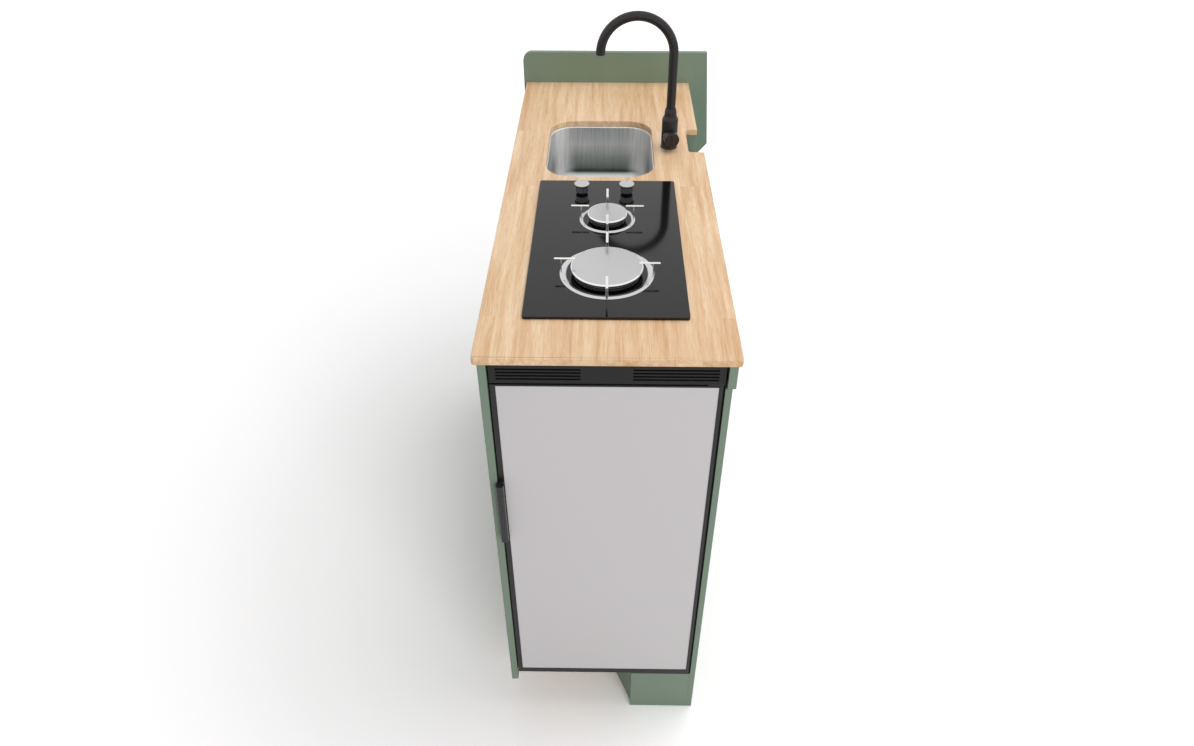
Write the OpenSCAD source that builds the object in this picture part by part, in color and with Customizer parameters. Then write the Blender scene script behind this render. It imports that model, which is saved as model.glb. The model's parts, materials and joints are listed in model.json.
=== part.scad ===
// Kitchenette unit: a narrow worktop with a two-burner gas hob and an undermounted sink,
// over a tall fridge at the near end and a cupboard with drawers at the far end.
// Layout frame: X = 0 on the worktop's middle, +X to the wall side; Y = 0 on the near edge
// of the worktop, +Y to the far end; Z = 0 on the floor. Millimetres.

/* [Worktop] */
// Width of the worktop over its near part
worktop_w = 460; // [452:1:500]
// Length of the worktop
worktop_l = 1250; // [1246:1:1400]
// Height of the worktop's top face above the floor
worktop_h = 1100; // [1085:1:1150]
// Thickness of the worktop and of the carcass boards
board_t = 15; // [12:0.5:18]
// Radius of the worktop's near corners
worktop_corner_r = 6; // [2:0.5:12]
// How far the far part's wall edge stands back from the near part's
far_inset = 7; // [2:0.5:12]
// Distance from the sink's cut-out to the start of the wall notch
notch_along = 132; // [110:1:150]
// Length of the wall notch
notch_l = 130; // [100:1:150]
// Depth of the wall notch
notch_d = 37; // [25:0.5:38]
// Radius of the wall notch's inner corners
notch_corner_r = 8; // [3:0.5:12]

/* [Carcass] */
// Worktop overhang over the aisle boards
aisle_overhang = 9; // [4:0.5:12]
// Worktop overhang over the wall board
wall_overhang = 13; // [9:0.5:14]
// Thickness of the wall board
wall_board_t = 12; // [9:0.5:14]
// Step from the worktop's near edge back to the boards' front edges
front_recess = 2; // [1:0.5:4]
// Height of the battens under the worktop's wall edge
batten_h = 50; // [40:1:60]
// Worktop overhang over the battens
batten_overhang = 7; // [4:0.5:9]
// Height of the base board's underside above the floor
plinth_h = 128; // [118:1:135]
// Height of the aisle boards' bottom edge above the floor
aisle_lift = 114; // [100:1:120]
// Length of the plinth's front board
plinth_front_w = 140; // [110:1:160]
// Angle of the plinth's return board from the long side
plinth_angle = 24; // [18:0.5:28]
// Setback of the plinth from the aisle boards' outer face
toe_setback = 56; // [45:1:70]
// Gap between the hob's cut-out and the divider behind the fridge
divider_gap = 5; // [4:0.5:7]
// Diameter of the wall board's fixing holes
fixing_hole_d = 6; // [4:0.5:8]
// Spacing of the fixing holes along the board
fixing_span_y = 450; // [400:5:480]
// Height of the fixing holes' middle above the wall board's middle
fixing_rise = 80; // [40:5:100]
// Spacing of the fixing holes up the board
fixing_span_z = 700; // [600:5:740]

/* [End panel] */
// Height of the end panel's top above the worktop
end_rise = 83; // [60:1:110]
// Overhang of the end panel past the worktop's aisle edge
end_aisle_over = 7; // [4:0.5:16]
// Radius of the end panel's top corner on the aisle side
end_corner_r = 25; // [10:1:40]
// Reach of the end panel's top corner past the worktop's wall edge
end_top_reach = 39; // [30:0.5:48]
// Reach of the end panel's widest point past the worktop's wall edge
end_wide_reach = 59; // [52:0.5:66]
// Depth of the widest point below the worktop's top
end_wide_drop = 180; // [150:1:210]
// Angle of the slope below the widest point, from level
end_slope = 50; // [40:1:60]

/* [Fridge] */
// Width of the fridge's front
fridge_w = 406; // [402:0.5:407]
// Gap between the fridge's front and the wall board
fridge_wall_gap = 1.5; // [1.2:0.1:2.5]
// Depth of the fridge's insulated body
fridge_body_d = 502; // [480:1:510]
// Thickness of the insulation at the sides
fridge_side_t = 34; // [28:0.5:40]
// Thickness of the insulation at the back, the top and the bottom
fridge_back_t = 36; // [30:0.5:42]
// Wall of the fridge's plastic liner
liner_t = 2; // [1.5:0.1:3]
// Height of the upper shelf over the fridge's floor, as a share of the height inside
shelf_upper_share = 0.725; // [0.66:0.005:0.76]
// Height of the lower shelf over the fridge's floor, as a share of the height inside
shelf_lower_share = 0.455; // [0.4:0.005:0.5]
// Height of the upper door bin over the fridge's floor, as a share of the height inside
bin_upper_share = 0.7; // [0.6:0.005:0.75]
// Height of the lower door bin over the fridge's floor, as a share of the height inside
bin_lower_share = 0.08; // [0.06:0.005:0.1]
// Height of the ventilation grille above the door
grille_h = 40; // [36:0.5:46]
// Thickness of the hinge plates
hinge_plate_t = 2.5; // [2:0.1:3]
// Distance from the hinge axis to the door's side and front faces
hinge_inset = 6.5; // [6:0.1:7]
// Radius of the door's hinge pins
hinge_pin_r = 2.75; // [2.25:0.05:3]
// Width of the compressor's space, front to back
compressor_space_d = 120; // [114:1:124]
// Height of the compressor's space
compressor_space_h = 202; // [190:1:220]

/* [Fridge door] */
// Depth of the door's black frame, front to back
door_frame_d = 30; // [26:0.5:32]
// Width of the frame at both sides of the grey panel
door_stile_w = 9.5; // [9.1:0.1:10.5]
// Height of the frame under the grey panel
door_rail_h = 14.4; // [12:0.1:18]
// Height of the frame above the grey panel
door_top_rail_h = 3.5; // [3:0.1:6]
// Thickness of the grey panel
door_panel_t = 4; // [3:0.1:5]
// Thickness of the door gasket
gasket_t = 8; // [6:0.1:9]
// Length of the door handle
handle_l = 160; // [120:1:200]
// Height of the handle's middle above the floor
handle_z = 721; // [600:1:800]
// How far the handle stands out from the door
handle_proud = 17; // [13:0.5:19]

/* [Hob] */
// Width of the hob's glass
hob_w = 300; // [290:0.5:310]
// Length of the hob's glass
hob_l = 526; // [520:0.5:529]
// Distance of the large burner from the glass's near edge, as a share of the glass's length
burner_large_share = 0.2745; // [0.26:0.0005:0.28]
// Distance of the small burner from the glass's near edge, as a share of the glass's length
burner_small_share = 0.6663; // [0.65:0.0005:0.67]
// Offset of the burners from the glass's middle, to the wall
burner_shift = 1.2; // [0:0.1:3]
// Thickness of the hob's glass
hob_glass_t = 6; // [4:0.5:8]
// Distance from the worktop's near edge to the glass
hob_y = 113; // [105:0.5:115]
// Offset of the hob from the worktop's middle, to the aisle
hob_shift = 2.3; // [0:0.1:6]
// Margin of the glass round the cut-out
hob_margin = 13; // [10:0.5:16]
// Depth of the hob's tray below the worktop's top
hob_tray_depth = 54; // [48:0.5:55]
// Radius of the large burner's cap
cap_large_r = 69.3; // [60:0.1:72]
// Radius of the small burner's cap
cap_small_r = 41.7; // [36:0.1:44]
// Height of the burner caps' top above the glass
cap_top = 17; // [14:0.5:20]
// Height of the pan supports' top above the glass
support_top = 32.5; // [28:0.5:38]
// Width of a pan support's finger
finger_w = 5; // [3:0.5:7]
// Thickness of a pan support's steel
finger_t = 2; // [1.5:0.1:3]
// Radius of a knob's top
knob_r = 16.5; // [15:0.1:19]
// Distance of the knobs from the glass's far edge
knob_setback = 59; // [50:0.5:64]
// Distance of the left knob from the glass's middle
knob_left_out = 54.9; // [50:0.1:60]
// Distance of the right knob from the glass's middle
knob_right_out = 42.9; // [40:0.1:50]
// Height of a knob's top above the glass
knob_top = 23.5; // [20:0.5:26]
// Travel of a knob when it is pushed
knob_travel = 3; // [2:0.5:3.5]
// Radius of the gas inlet pipe
gas_pipe_r = 4; // [3:0.5:5]

/* [Sink] */
// Width of the sink's cut-out
sink_w = 253; // [245:1:256]
// Length of the sink's cut-out
sink_l = 312; // [300:1:316]
// Corner radius of the sink's cut-out
sink_r = 62; // [60:1:75]
// Gap between the fridge's divider and the sink's cut-out
sink_gap = 25; // [23:0.5:27]
// Width of the steel rim that shows inside the cut-out
sink_rim = 2.5; // [1:0.1:5]
// Width of the sink's flange round the bowl
sink_flange = 15; // [12:0.5:16]
// Radius between the bowl's walls and its floor
bowl_fillet = 26; // [10:1:27]
// Offset of the sink from the worktop's middle, to the aisle
sink_shift = 19; // [16:0.5:22]
// Depth of the bowl below the worktop
sink_depth = 140; // [110:1:150]
// Thickness of the sink's steel
sink_t = 1.5; // [1:0.1:2]
// Radius of the waste outlet's spigot
spigot_r = 12.5; // [10:0.5:14]

/* [Tap] */
// Distance of the tap's axis from the worktop's middle
tap_x = 146.3; // [144:0.1:149]
// Distance of the tap's axis from the near edge of the sink's cut-out
tap_along = 162; // [155:0.5:167]
// Radius of the tap's body
tap_r = 19.1; // [18:0.1:19.8]
// Radius of the tap's foot
tap_foot_r = 20.3; // [20:0.1:23]
// Outer radius of the spout's tube
spout_r = 10.6; // [8:0.1:11]
// Radius of the spout's arch, on the tube's middle
arch_r = 82.9; // [70:0.1:90]
// Height of the arch's centre above the worktop
arch_z = 222; // [200:1:240]
// Direction of the tap's handle, from the near side towards the wall side
handle_angle = 8; // [0:1:20]
// Radius of the tap's handle and its housing
handle_r = 17.8; // [15:0.1:18.5]
// Reach of the tap's handle from the tap's axis
handle_reach = 38; // [34:0.5:44]
// Height of the handle's axis above the worktop
lever_z = 30; // [26:0.5:34]

/* [Aisle fronts] */
// Distance of the cupboard's hinges from the front's ends
hinge_end_gap = 86; // [70:1:110]
// Gap between neighbouring fronts
front_gap = 3; // [2.5:0.1:4]
// Height of the upper drawer's front
upper_front_h = 200; // [180:1:240]
// Height of the upper drawer's box
upper_box_h = 150; // [120:1:160]
// Height of the lower drawer's box
lower_box_h = 420; // [300:1:560]
// Wall of the drawer boxes
drawer_wall = 12; // [9:0.5:13]
// Radius of the push locks
lock_r = 10; // [8:0.1:12]

/* [Hidden] */
$fn = 64;

// Colours
c_board = "#7E8A76";
c_wood = "#E6C5A5";
c_carcass = "#8D8F84";
c_black = "#2C2C2C";
c_grey = "#C4C0C1";
c_white = "#ECECEA";
c_steel = "#B9BBBD";
c_glass = "#484848";

// Small clearances
run_gap = 0.05; // radial, for a pin or a shaft in its hole
push_gap = 0.02; // radial, for a knob pushed onto its stem
rest_gap = 0.3; // between pieces that only rest near each other
overcut = 1; // how far a cutting solid runs past the face it cuts

// Carcass planes
edge_x = worktop_w / 2;
x_aisle = -edge_x + aisle_overhang;
x_aisle_in = x_aisle + board_t;
x_wall = edge_x - wall_overhang;
x_wall_in = x_wall - wall_board_t;
x_batten = edge_x - batten_overhang;
y_front = front_recess;
y_end = worktop_l;
z_under = worktop_h - board_t;
base_top = plinth_h + board_t;
batten_z = z_under - batten_h;

// Fronts on the aisle side stand slightly proud of the fixed board
front_proud = 1;
fx_out = x_aisle - front_proud;
fx_in = x_aisle_in - front_proud;
divider_y = hob_y + hob_l - hob_margin + divider_gap;
sink_y = divider_y + board_t + sink_gap;
divider2_y = sink_y + sink_l + 23;
notch_start = sink_y + notch_along;
tap_y = sink_y + tap_along;
y_board_end = divider_y + board_t / 2 - front_gap / 2;
y_door0 = y_board_end + front_gap;
y_door1 = divider2_y + board_t / 2 - front_gap / 2;
y_drawer0 = y_door1 + front_gap;
y_drawer1 = y_end - front_gap;
front_z1 = z_under - front_gap;
upper_z0 = front_z1 - upper_front_h;
lower_z1 = upper_z0 - front_gap;

// Plinth
plinth_x0 = x_wall_in - plinth_front_w;
plinth_y1 = y_front + board_t;
toe_x = x_aisle + toe_setback;
toe_y = plinth_y1 + (plinth_x0 - toe_x) / tan(plinth_angle);
return_w = board_t / cos(plinth_angle);
toe_in_y = plinth_y1 + (plinth_x0 + return_w - toe_x - board_t) / tan(plinth_angle);

// Fridge
fx1 = x_wall_in - fridge_wall_gap;
fx0 = fx1 - fridge_w;
grille_z1 = z_under - rest_gap;
grille_z0 = grille_z1 - grille_h;
shell_z1 = grille_z0 - rest_gap - hinge_plate_t;
door_z0 = base_top + 4;
door_z1 = shell_z1 - 0.5;
panel_x0 = fx0 + door_stile_w;
panel_x1 = fx1 - door_stile_w;
panel_z0 = door_z0 + door_rail_h;
panel_z1 = door_z1 - door_top_rail_h;
panel_y0 = y_front + 1;
core_y0 = panel_y0 + door_panel_t;
core_y1 = y_front + door_frame_d;
core_flange_t = 8;
gasket_y0 = core_y1 + core_flange_t;
flange_t = 1.2;
shell_y0 = gasket_y0 + gasket_t;
shell_y1 = shell_y0 + fridge_body_d;
shell_x0 = fx0 + 2;
shell_x1 = fx1 - 2;
cav_x0 = shell_x0 + fridge_side_t;
cav_x1 = shell_x1 - fridge_side_t;
cav_z0 = base_top + fridge_back_t + 6;
cav_z1 = shell_z1 - fridge_back_t;
cav_y1 = shell_y1 - fridge_back_t;
space_y0 = shell_y1 - compressor_space_d;
space_z1 = base_top + compressor_space_h;
step_y = space_y0 - fridge_back_t;
step_z = space_z1 + fridge_back_t;
hinge_x = fx1 - hinge_inset;
hinge_y = y_front + hinge_inset;
hinge_plate_w = 31;
hinge_plate_y1 = shell_y0 + 42;
hinge_pin_in = 10;
shelf_t = 5;
shelf_y0 = shell_y0 + 82;
rib_w = 7;
rib_h = 6;
cav_h = cav_z1 - cav_z0;
shelf_upper_z = cav_z0 + shelf_upper_share * cav_h;
shelf_lower_z = cav_z0 + shelf_lower_share * cav_h;
bin_x = 140;
bin_d = 66;
bin_t = 2.5;
bin_upper_z = cav_z0 + bin_upper_share * cav_h;
bin_lower_z = cav_z0 + bin_lower_share * cav_h;
bin_upper_h = 70;
bin_lower_h = 120;
dyke_t = 10;
compressor_r = 50;
compressor_h = 140;

// Door handle: a bar that turns a little on a vertical pin at its inner edge
handle_x0 = fx0 - 6;
handle_x1 = fx0 + door_stile_w;
handle_y0 = y_front - handle_proud;
handle_pin_r = 2;
handle_pin_x = handle_x1 - 3;
handle_pin_y = y_front - 4.5;
lug_h = 4;
lug_w = 8;

// Hob
hob_x = -hob_shift;
hob_x0 = hob_x - hob_w / 2;
hob_x1 = hob_x + hob_w / 2;
hob_y1 = hob_y + hob_l;
glass_z0 = worktop_h;
glass_z1 = worktop_h + hob_glass_t;
hob_corner_r = 5;
tray_gap = 1.5;
tray_t = 1.5;
tray_x0 = hob_x0 + hob_margin + tray_gap;
tray_x1 = hob_x1 - hob_margin - tray_gap;
tray_y0 = hob_y + hob_margin + tray_gap;
tray_y1 = hob_y1 - hob_margin - tray_gap;
tray_z0 = worktop_h - hob_tray_depth;
burner_x = hob_x + burner_shift;
large_y = hob_y + burner_large_share * hob_l;
small_y = hob_y + burner_small_share * hob_l;
cup_large_r = 40;
cup_small_r = 25;
cup_gap = 1;
cap_t = 4;
head_h = 9;
head_inset = 3.3;
skirt_inset = 6;
ring_gap = 8.2;
ring_large_w = 12.5;
ring_small_w = 8;
ring_large_r = cap_large_r + ring_gap + ring_large_w;
ring_small_r = cap_small_r + ring_gap + ring_small_w;
finger_large_in = cap_large_r - 9.3;
finger_large_out = ring_large_r + 10;
finger_small_in = cap_small_r - 3.7;
finger_small_out = ring_small_r + 17;
// The right-hand finger of the large support stands nearer to the front
finger_right_shift = 14;
knob_left_x = hob_x - knob_left_out;
knob_right_x = hob_x + knob_right_out;
knob_y = hob_y1 - knob_setback;
knob_gap = knob_travel + 0.6;
knob_side_r = knob_r - 2.9;
stem_r = 3;
plug_r = 6;
valve_r = 13;
plug_z0 = worktop_h - 36;
plug_z1 = worktop_h - 18;
stem_z0 = plug_z1 - 6;
stem_z1 = glass_z1 + knob_top - 6;
manifold_y = knob_y + 17;
manifold_r = 6;
manifold_z = worktop_h - 30;
feed_r = 3;
feed_z = worktop_h - 25;
feed_left_x = knob_left_x + 7;
feed_right_x = knob_right_x - 6.6;
inlet_x = tray_x1 - 18;
inlet_free = 21;

// Sink
sink_x = -sink_shift;
bowl_x0 = sink_x - sink_w / 2 + sink_rim;
bowl_x1 = sink_x + sink_w / 2 - sink_rim;
bowl_y0 = sink_y + sink_rim;
bowl_y1 = sink_y + sink_l - sink_rim;
bowl_r = sink_r - sink_rim;
bowl_z0 = z_under - sink_depth;
sink_cy = sink_y + sink_l / 2;
waste_flange_r = 35;
waste_r = 22;
waste_bore_r = 19;
waste_z0 = bowl_z0 - 45;
plug_seat_r = 31;
trap_r = 28;
trap_t = 3;
trap_z0 = waste_z0 - 70;
spigot_l = 34;
spigot_z = waste_z0 - 20;
clip_w = 20;
clip_t = 3.5;
clip_out = 10;

// Tap
tap_shank_r = 16;
tap_tail_r = 5;
tap_tail_l = 40;
tap_shank_l = 50;
socket_z = 70;
spout_wall = 2.5;
handle_split = handle_reach - 12;
neck_z = 97;
spindle_r = 3;
nut_r = 20.5;
nut_h = 8;

// Drawers and runners
runner_w = 12;
runner_h = 35;
lip_w = 6;
lip_t = 2.5;
box_x1 = x_wall_in - 30;
box_y0 = divider2_y + board_t + runner_w + 0.5;
box_y1 = y_end - runner_w - 0.5;
drawer_floor = 6;
upper_box_z = upper_z0 + 18;
lower_box_z = base_top + 22;
lock_proud = 3;
lock_tail = 12;
lock_gap = 0.1;
lock_drop = 81;
lock_z_upper = front_z1 - lock_drop;
lock_z_lower = lower_z1 - lock_drop;
lock_door_y = y_door1 - 32;
lock_drawer_y = (y_drawer0 + y_drawer1) / 2;

// Door hinges of the sink cupboard: butt hinges with an outside barrel
leaf_t = 1;
leaf_h = 60;
leaf_x1 = fx_in - 1;
barrel_r = 2.8;
barrel_x = fx_out - barrel_r - 0.2;
barrel_y = (y_board_end + y_door0) / 2;
barrel_pin_r = 1.5;
hinge_zs = [aisle_lift + hinge_end_gap, front_z1 - hinge_end_gap - leaf_h];

// The model's own origin: on the floor, in the middle of the whole unit's outline
end_x0 = -edge_x - end_aisle_over;
end_x1 = edge_x + end_wide_reach;
origin_x = (end_x0 + end_x1) / 2;
origin_y = (handle_y0 + y_end + board_t) / 2;

module place() {
  translate([-origin_x, -origin_y, 0]) children();
}

module box(x0, x1, y0, y1, z0, z1) {
  translate([x0, y0, z0]) cube([x1 - x0, y1 - y0, z1 - z0]);
}

module rod(x, y, z0, z1, r) {
  translate([x, y, z0]) cylinder(h = z1 - z0, r = r);
}

module rod_x(x0, x1, y, z, r) {
  translate([x0, y, z]) rotate([0, 90, 0]) cylinder(h = x1 - x0, r = r);
}

module rod_y(x, y0, y1, z, r) {
  translate([x, y0, z]) rotate([-90, 0, 0]) cylinder(h = y1 - y0, r = r);
}

// Upright block with round corners
module round_box(x0, x1, y0, y1, z0, z1, r) {
  translate([0, 0, z0]) linear_extrude(z1 - z0) {
    translate([x0 + r, y0]) square([x1 - x0 - 2 * r, y1 - y0]);
    translate([x0, y0 + r]) square([x1 - x0, y1 - y0 - 2 * r]);
    for (x = [x0 + r, x1 - r], y = [y0 + r, y1 - r]) translate([x, y]) circle(r);
  }
}

// Turned shape about an upright axis, from a list of [radius, height] points
module turned(x, y, points) {
  translate([x, y, 0]) rotate_extrude() polygon(points);
}

// ---------- Worktop and carcass ----------

module worktop_blank() {
  r = worktop_corner_r;
  notch_end = notch_start + notch_l;
  round_box(-edge_x, edge_x, 0, notch_start, z_under, worktop_h, r);
  box(-edge_x, edge_x, r, notch_start, z_under, worktop_h);
  box(-edge_x, edge_x - notch_d, notch_start - overcut, notch_end + overcut, z_under, worktop_h);
  box(-edge_x, edge_x - far_inset, notch_end, y_end, z_under, worktop_h);
  // fillets in the notch's inner corners
  for (side = [0, 1]) {
    y = side == 0 ? notch_start : notch_end - notch_corner_r;
    cy = side == 0 ? notch_start + notch_corner_r : notch_end - notch_corner_r;
    x = edge_x - notch_d;
    difference() {
      box(x - overcut, x + notch_corner_r, y, y + notch_corner_r, z_under, worktop_h);
      rod(x + notch_corner_r, cy, z_under - overcut, worktop_h + overcut, notch_corner_r);
    }
  }
}

module worktop() {
  z0 = z_under - overcut;
  z1 = worktop_h + overcut;
  color(c_wood) place() difference() {
    worktop_blank();
    box(hob_x0 + hob_margin, hob_x1 - hob_margin, hob_y + hob_margin, hob_y1 - hob_margin, z0, z1);
    round_box(sink_x - sink_w / 2, sink_x + sink_w / 2, sink_y, sink_y + sink_l, z0, z1, sink_r);
    rod(tap_x, tap_y, z0, z1, tap_shank_r + 0.5);
  }
}

module side_board_aisle() {
  color(c_board) place() box(x_aisle, x_aisle_in, y_front, y_board_end, aisle_lift, z_under);
}

module side_board_wall() {
  mid_y = (divider_y + board_t + y_end) / 2;
  mid_z = batten_z / 2 + fixing_rise;
  color(c_board) place() difference() {
    box(x_wall_in, x_wall, y_front, y_end, 0, batten_z);
    for (sy = [-1, 1], sz = [-1, 1])
      rod_x(x_wall_in - overcut, x_wall + overcut, mid_y + sy * fixing_span_y / 2,
            mid_z + sz * fixing_span_z / 2, fixing_hole_d / 2);
  }
}

module battens() {
  color(c_board) place() {
    box(x_batten - board_t, x_batten, y_front, notch_start - 3, batten_z, z_under);
    box(x_batten - board_t, x_batten, notch_start + notch_l + 3, y_end, batten_z, z_under);
    // The far one is packed out behind the notch, so that the notch shows no gap
    box(edge_x - notch_d, x_batten, notch_start + notch_l + 3, divider2_y - 0.3, batten_z, z_under);
  }
}

module end_panel() {
  top = worktop_h + end_rise;
  wide_z = worktop_h - end_wide_drop;
  slope_z = wide_z - (end_x1 - x_wall) * tan(end_slope);
  r = end_corner_r;
  color(c_board) place() translate([0, y_end + board_t, 0]) rotate([90, 0, 0])
    linear_extrude(board_t) {
      polygon([
        [end_x0, aisle_lift], [toe_x, aisle_lift], [toe_x, 0], [x_wall, 0], [x_wall, slope_z],
        [end_x1, wide_z], [edge_x + end_top_reach, top], [end_x0 + r, top],
        [end_x0 + r, top - r], [end_x0, top - r]
      ]);
      translate([end_x0 + r, top - r]) circle(r);
    }
}

module divider_fridge() {
  color(c_carcass) place()
    box(x_aisle_in, x_wall_in, divider_y, divider_y + board_t, base_top, z_under);
}

module divider_drawers() {
  color(c_carcass) place()
    box(x_aisle_in, x_wall_in, divider2_y, divider2_y + board_t, base_top, z_under);
}

module base_board() {
  color(c_carcass) place() box(x_aisle_in, x_wall_in, plinth_y1, y_end, plinth_h, base_top);
}

module plinth_front() {
  color(c_board) place() box(plinth_x0, x_wall_in, y_front, plinth_y1, 0, base_top);
}

module plinth_return() {
  color(c_board) place() linear_extrude(plinth_h) polygon([
    [plinth_x0, plinth_y1], [plinth_x0 + return_w, plinth_y1],
    [toe_x + board_t, toe_in_y], [toe_x, toe_y]
  ]);
}

module plinth_aisle() {
  color(c_board) place() linear_extrude(plinth_h) polygon([
    [toe_x, toe_y], [toe_x + board_t, toe_in_y], [toe_x + board_t, y_end], [toe_x, y_end]
  ]);
}

// ---------- Fridge ----------

module hinge_plate_flat(z0) {
  x0 = fx1 - hinge_plate_w;
  round_box(x0, fx1 - 0.5, y_front + 0.5, hinge_plate_y1, z0, z0 + hinge_plate_t, 4);
}

module fridge_shell() {
  color(c_black) place() difference() {
    box(shell_x0, shell_x1, shell_y0, shell_y1, base_top, shell_z1);
    box(cav_x0, cav_x1, shell_y0 - overcut, cav_y1, step_z, cav_z1);
    box(cav_x0, cav_x1, shell_y0 - overcut, step_y, cav_z0, step_z + overcut);
    box(shell_x0 - overcut, shell_x1 + overcut, space_y0, shell_y1 + overcut,
        base_top - overcut, space_z1);
    box(fx1 - hinge_plate_w - rest_gap, shell_x1 + overcut, shell_y0 - overcut,
        hinge_plate_y1 + rest_gap, base_top - overcut, base_top + hinge_plate_t);
  }
}

module liner_ribs(z) {
  y1 = z > step_z ? cav_y1 - liner_t : step_y - liner_t;
  box(cav_x0 + liner_t - 0.5, cav_x0 + liner_t + rib_w, shelf_y0 - 10, y1, z - rib_h, z);
  box(cav_x1 - liner_t - rib_w, cav_x1 - liner_t + 0.5, shelf_y0 - 10, y1, z - rib_h, z);
}

module fridge_liner() {
  t = liner_t;
  lip = 22;
  color(c_white) place() {
    difference() {
      union() {
        box(cav_x0, cav_x1, shell_y0 - flange_t, cav_y1, step_z, cav_z1);
        box(cav_x0, cav_x1, shell_y0 - flange_t, step_y, cav_z0, step_z + overcut);
        box(cav_x0 - lip, cav_x1 + lip, shell_y0 - flange_t, shell_y0, cav_z0 - lip, cav_z1 + lip);
      }
      box(cav_x0 + t, cav_x1 - t, shell_y0 - 5, cav_y1 - t, step_z + t, cav_z1 - t);
      box(cav_x0 + t, cav_x1 - t, shell_y0 - 5, step_y - t, cav_z0 + t, step_z + t + overcut);
    }
    liner_ribs(shelf_upper_z);
    liner_ribs(shelf_lower_z);
  }
}

module fridge_grille() {
  face_t = 10;
  slot_h = 3.5;
  pitch = 7;
  count = floor((grille_h - 6) / pitch);
  plain = 45;
  margin = 12;
  first = grille_z0 + (grille_h - (count - 1) * pitch - slot_h) / 2;
  color(c_black) place() {
    difference() {
      box(fx0, fx1, y_front, y_front + face_t, grille_z0, grille_z1);
      for (k = [0:count - 1]) {
        z = first + k * pitch;
        box(fx0 + margin, -plain, y_front - overcut, y_front + face_t + overcut, z, z + slot_h);
        box(plain, fx1 - margin, y_front - overcut, y_front + face_t + overcut, z, z + slot_h);
      }
    }
    // shelf behind the face and the feet that stand on the fridge
    box(fx0 + 8, fx1 - 8, y_front + face_t - overcut, shell_y0 + 25, grille_z0, grille_z0 + 2);
    for (x = [fx0 + 30, -20, fx1 - 90])
      box(x, x + 40, shell_y0 + 4, shell_y0 + 25, shell_z1, grille_z0 + overcut);
  }
}

module fridge_hinges() {
  color(c_steel) place() {
    hinge_plate_flat(shell_z1);
    rod(hinge_x, hinge_y, door_z1 - hinge_pin_in, shell_z1 + overcut, hinge_pin_r);
    hinge_plate_flat(base_top);
    rod(hinge_x, hinge_y, base_top + 1, door_z0 + hinge_pin_in, hinge_pin_r);
    rod(hinge_x, hinge_y, base_top + 1, door_z0 - rest_gap, hinge_pin_r + 2.5);
  }
}

module fridge_shelf(z) {
  color("#CFE0E0") place()
    box(cav_x0 + liner_t + 1, cav_x1 - liner_t - 1, shelf_y0, cav_y1 - liner_t - 3, z, z + shelf_t);
}

module fridge_shelf_upper() {
  fridge_shelf(shelf_upper_z);
}

module fridge_shelf_lower() {
  fridge_shelf(shelf_lower_z);
}

module compressor() {
  y = space_y0 + compressor_space_d / 2;
  r = compressor_r;
  foot_h = 12;
  z0 = base_top + foot_h;
  shoulder = 14;
  z1 = z0 + compressor_h;
  color(c_black) place() {
    turned(0, y, [
      [0, z0], [r - shoulder, z0], [r, z0 + shoulder], [r, z1 - shoulder], [r - shoulder, z1], [0, z1]
    ]);
    for (sx = [-1, 1], sy = [-1, 1])
      rod(sx * r * 0.4, y + sy * r * 0.4, base_top, z0 + 2, 7);
  }
}

// ---------- Fridge door ----------

module door_frame() {
  color(c_black) place() difference() {
    union() {
      box(fx0, hinge_x, y_front, core_y1, door_z0, door_z1);
      box(hinge_x - overcut, fx1, hinge_y, core_y1, door_z0, door_z1);
      rod(hinge_x, hinge_y, door_z0, door_z1, hinge_inset);
      for (z = [handle_z - handle_l / 2 - rest_gap - lug_h, handle_z + handle_l / 2 + rest_gap])
        box(handle_x1 - lug_w, handle_x1, handle_pin_y - 4, y_front + overcut, z, z + lug_h);
    }
    box(panel_x0, panel_x1, y_front - overcut, core_y1 + overcut, panel_z0, panel_z1);
    rod(hinge_x, hinge_y, door_z0 - overcut, door_z0 + hinge_pin_in + 1, hinge_pin_r + run_gap);
    rod(hinge_x, hinge_y, door_z1 - hinge_pin_in - 1, door_z1 + overcut, hinge_pin_r + run_gap);
    rod(handle_pin_x, handle_pin_y, handle_z - handle_l / 2 - 10, handle_z + handle_l / 2 + 10,
        handle_pin_r + run_gap);
  }
}

module door_panel() {
  color(c_grey) place() box(panel_x0, panel_x1, panel_y0, core_y0, panel_z0, panel_z1);
}

module door_core() {
  b = 2;
  inset = 24;
  dyke_x = bin_x + bin_t;
  color(c_white) place() {
    box(panel_x0, panel_x1, core_y0, core_y1, panel_z0, panel_z1);
    box(fx0 + b, fx1 - b, core_y1, gasket_y0, door_z0 + b, door_z1 - b);
    box(-dyke_x, dyke_x, gasket_y0 - overcut, shell_y0 + dyke_t, cav_z0 + inset, cav_z1 - inset);
  }
}

module door_gasket() {
  w = 16;
  x0 = fx0 + 4;
  x1 = fx1 - 4;
  z0 = door_z0 + 8;
  z1 = door_z1 - 8;
  y1 = shell_y0 - flange_t - rest_gap;
  color("#5A5A5A") place() difference() {
    box(x0, x1, gasket_y0, y1, z0, z1);
    box(x0 + w, x1 - w, gasket_y0 - overcut, y1 + overcut, z0 + w, z1 - w);
  }
}

module door_bin(z, h) {
  y0 = shell_y0 + dyke_t;
  y1 = y0 + bin_d;
  t = bin_t;
  color("#DDE6E8") place() difference() {
    box(-bin_x, bin_x, y0, y1, z, z + h);
    box(-bin_x + t, bin_x - t, y0 + t, y1 - t, z + t, z + h + overcut);
  }
}

module door_bin_upper() {
  door_bin(bin_upper_z, bin_upper_h);
}

module door_bin_lower() {
  door_bin(bin_lower_z, bin_lower_h);
}

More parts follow.
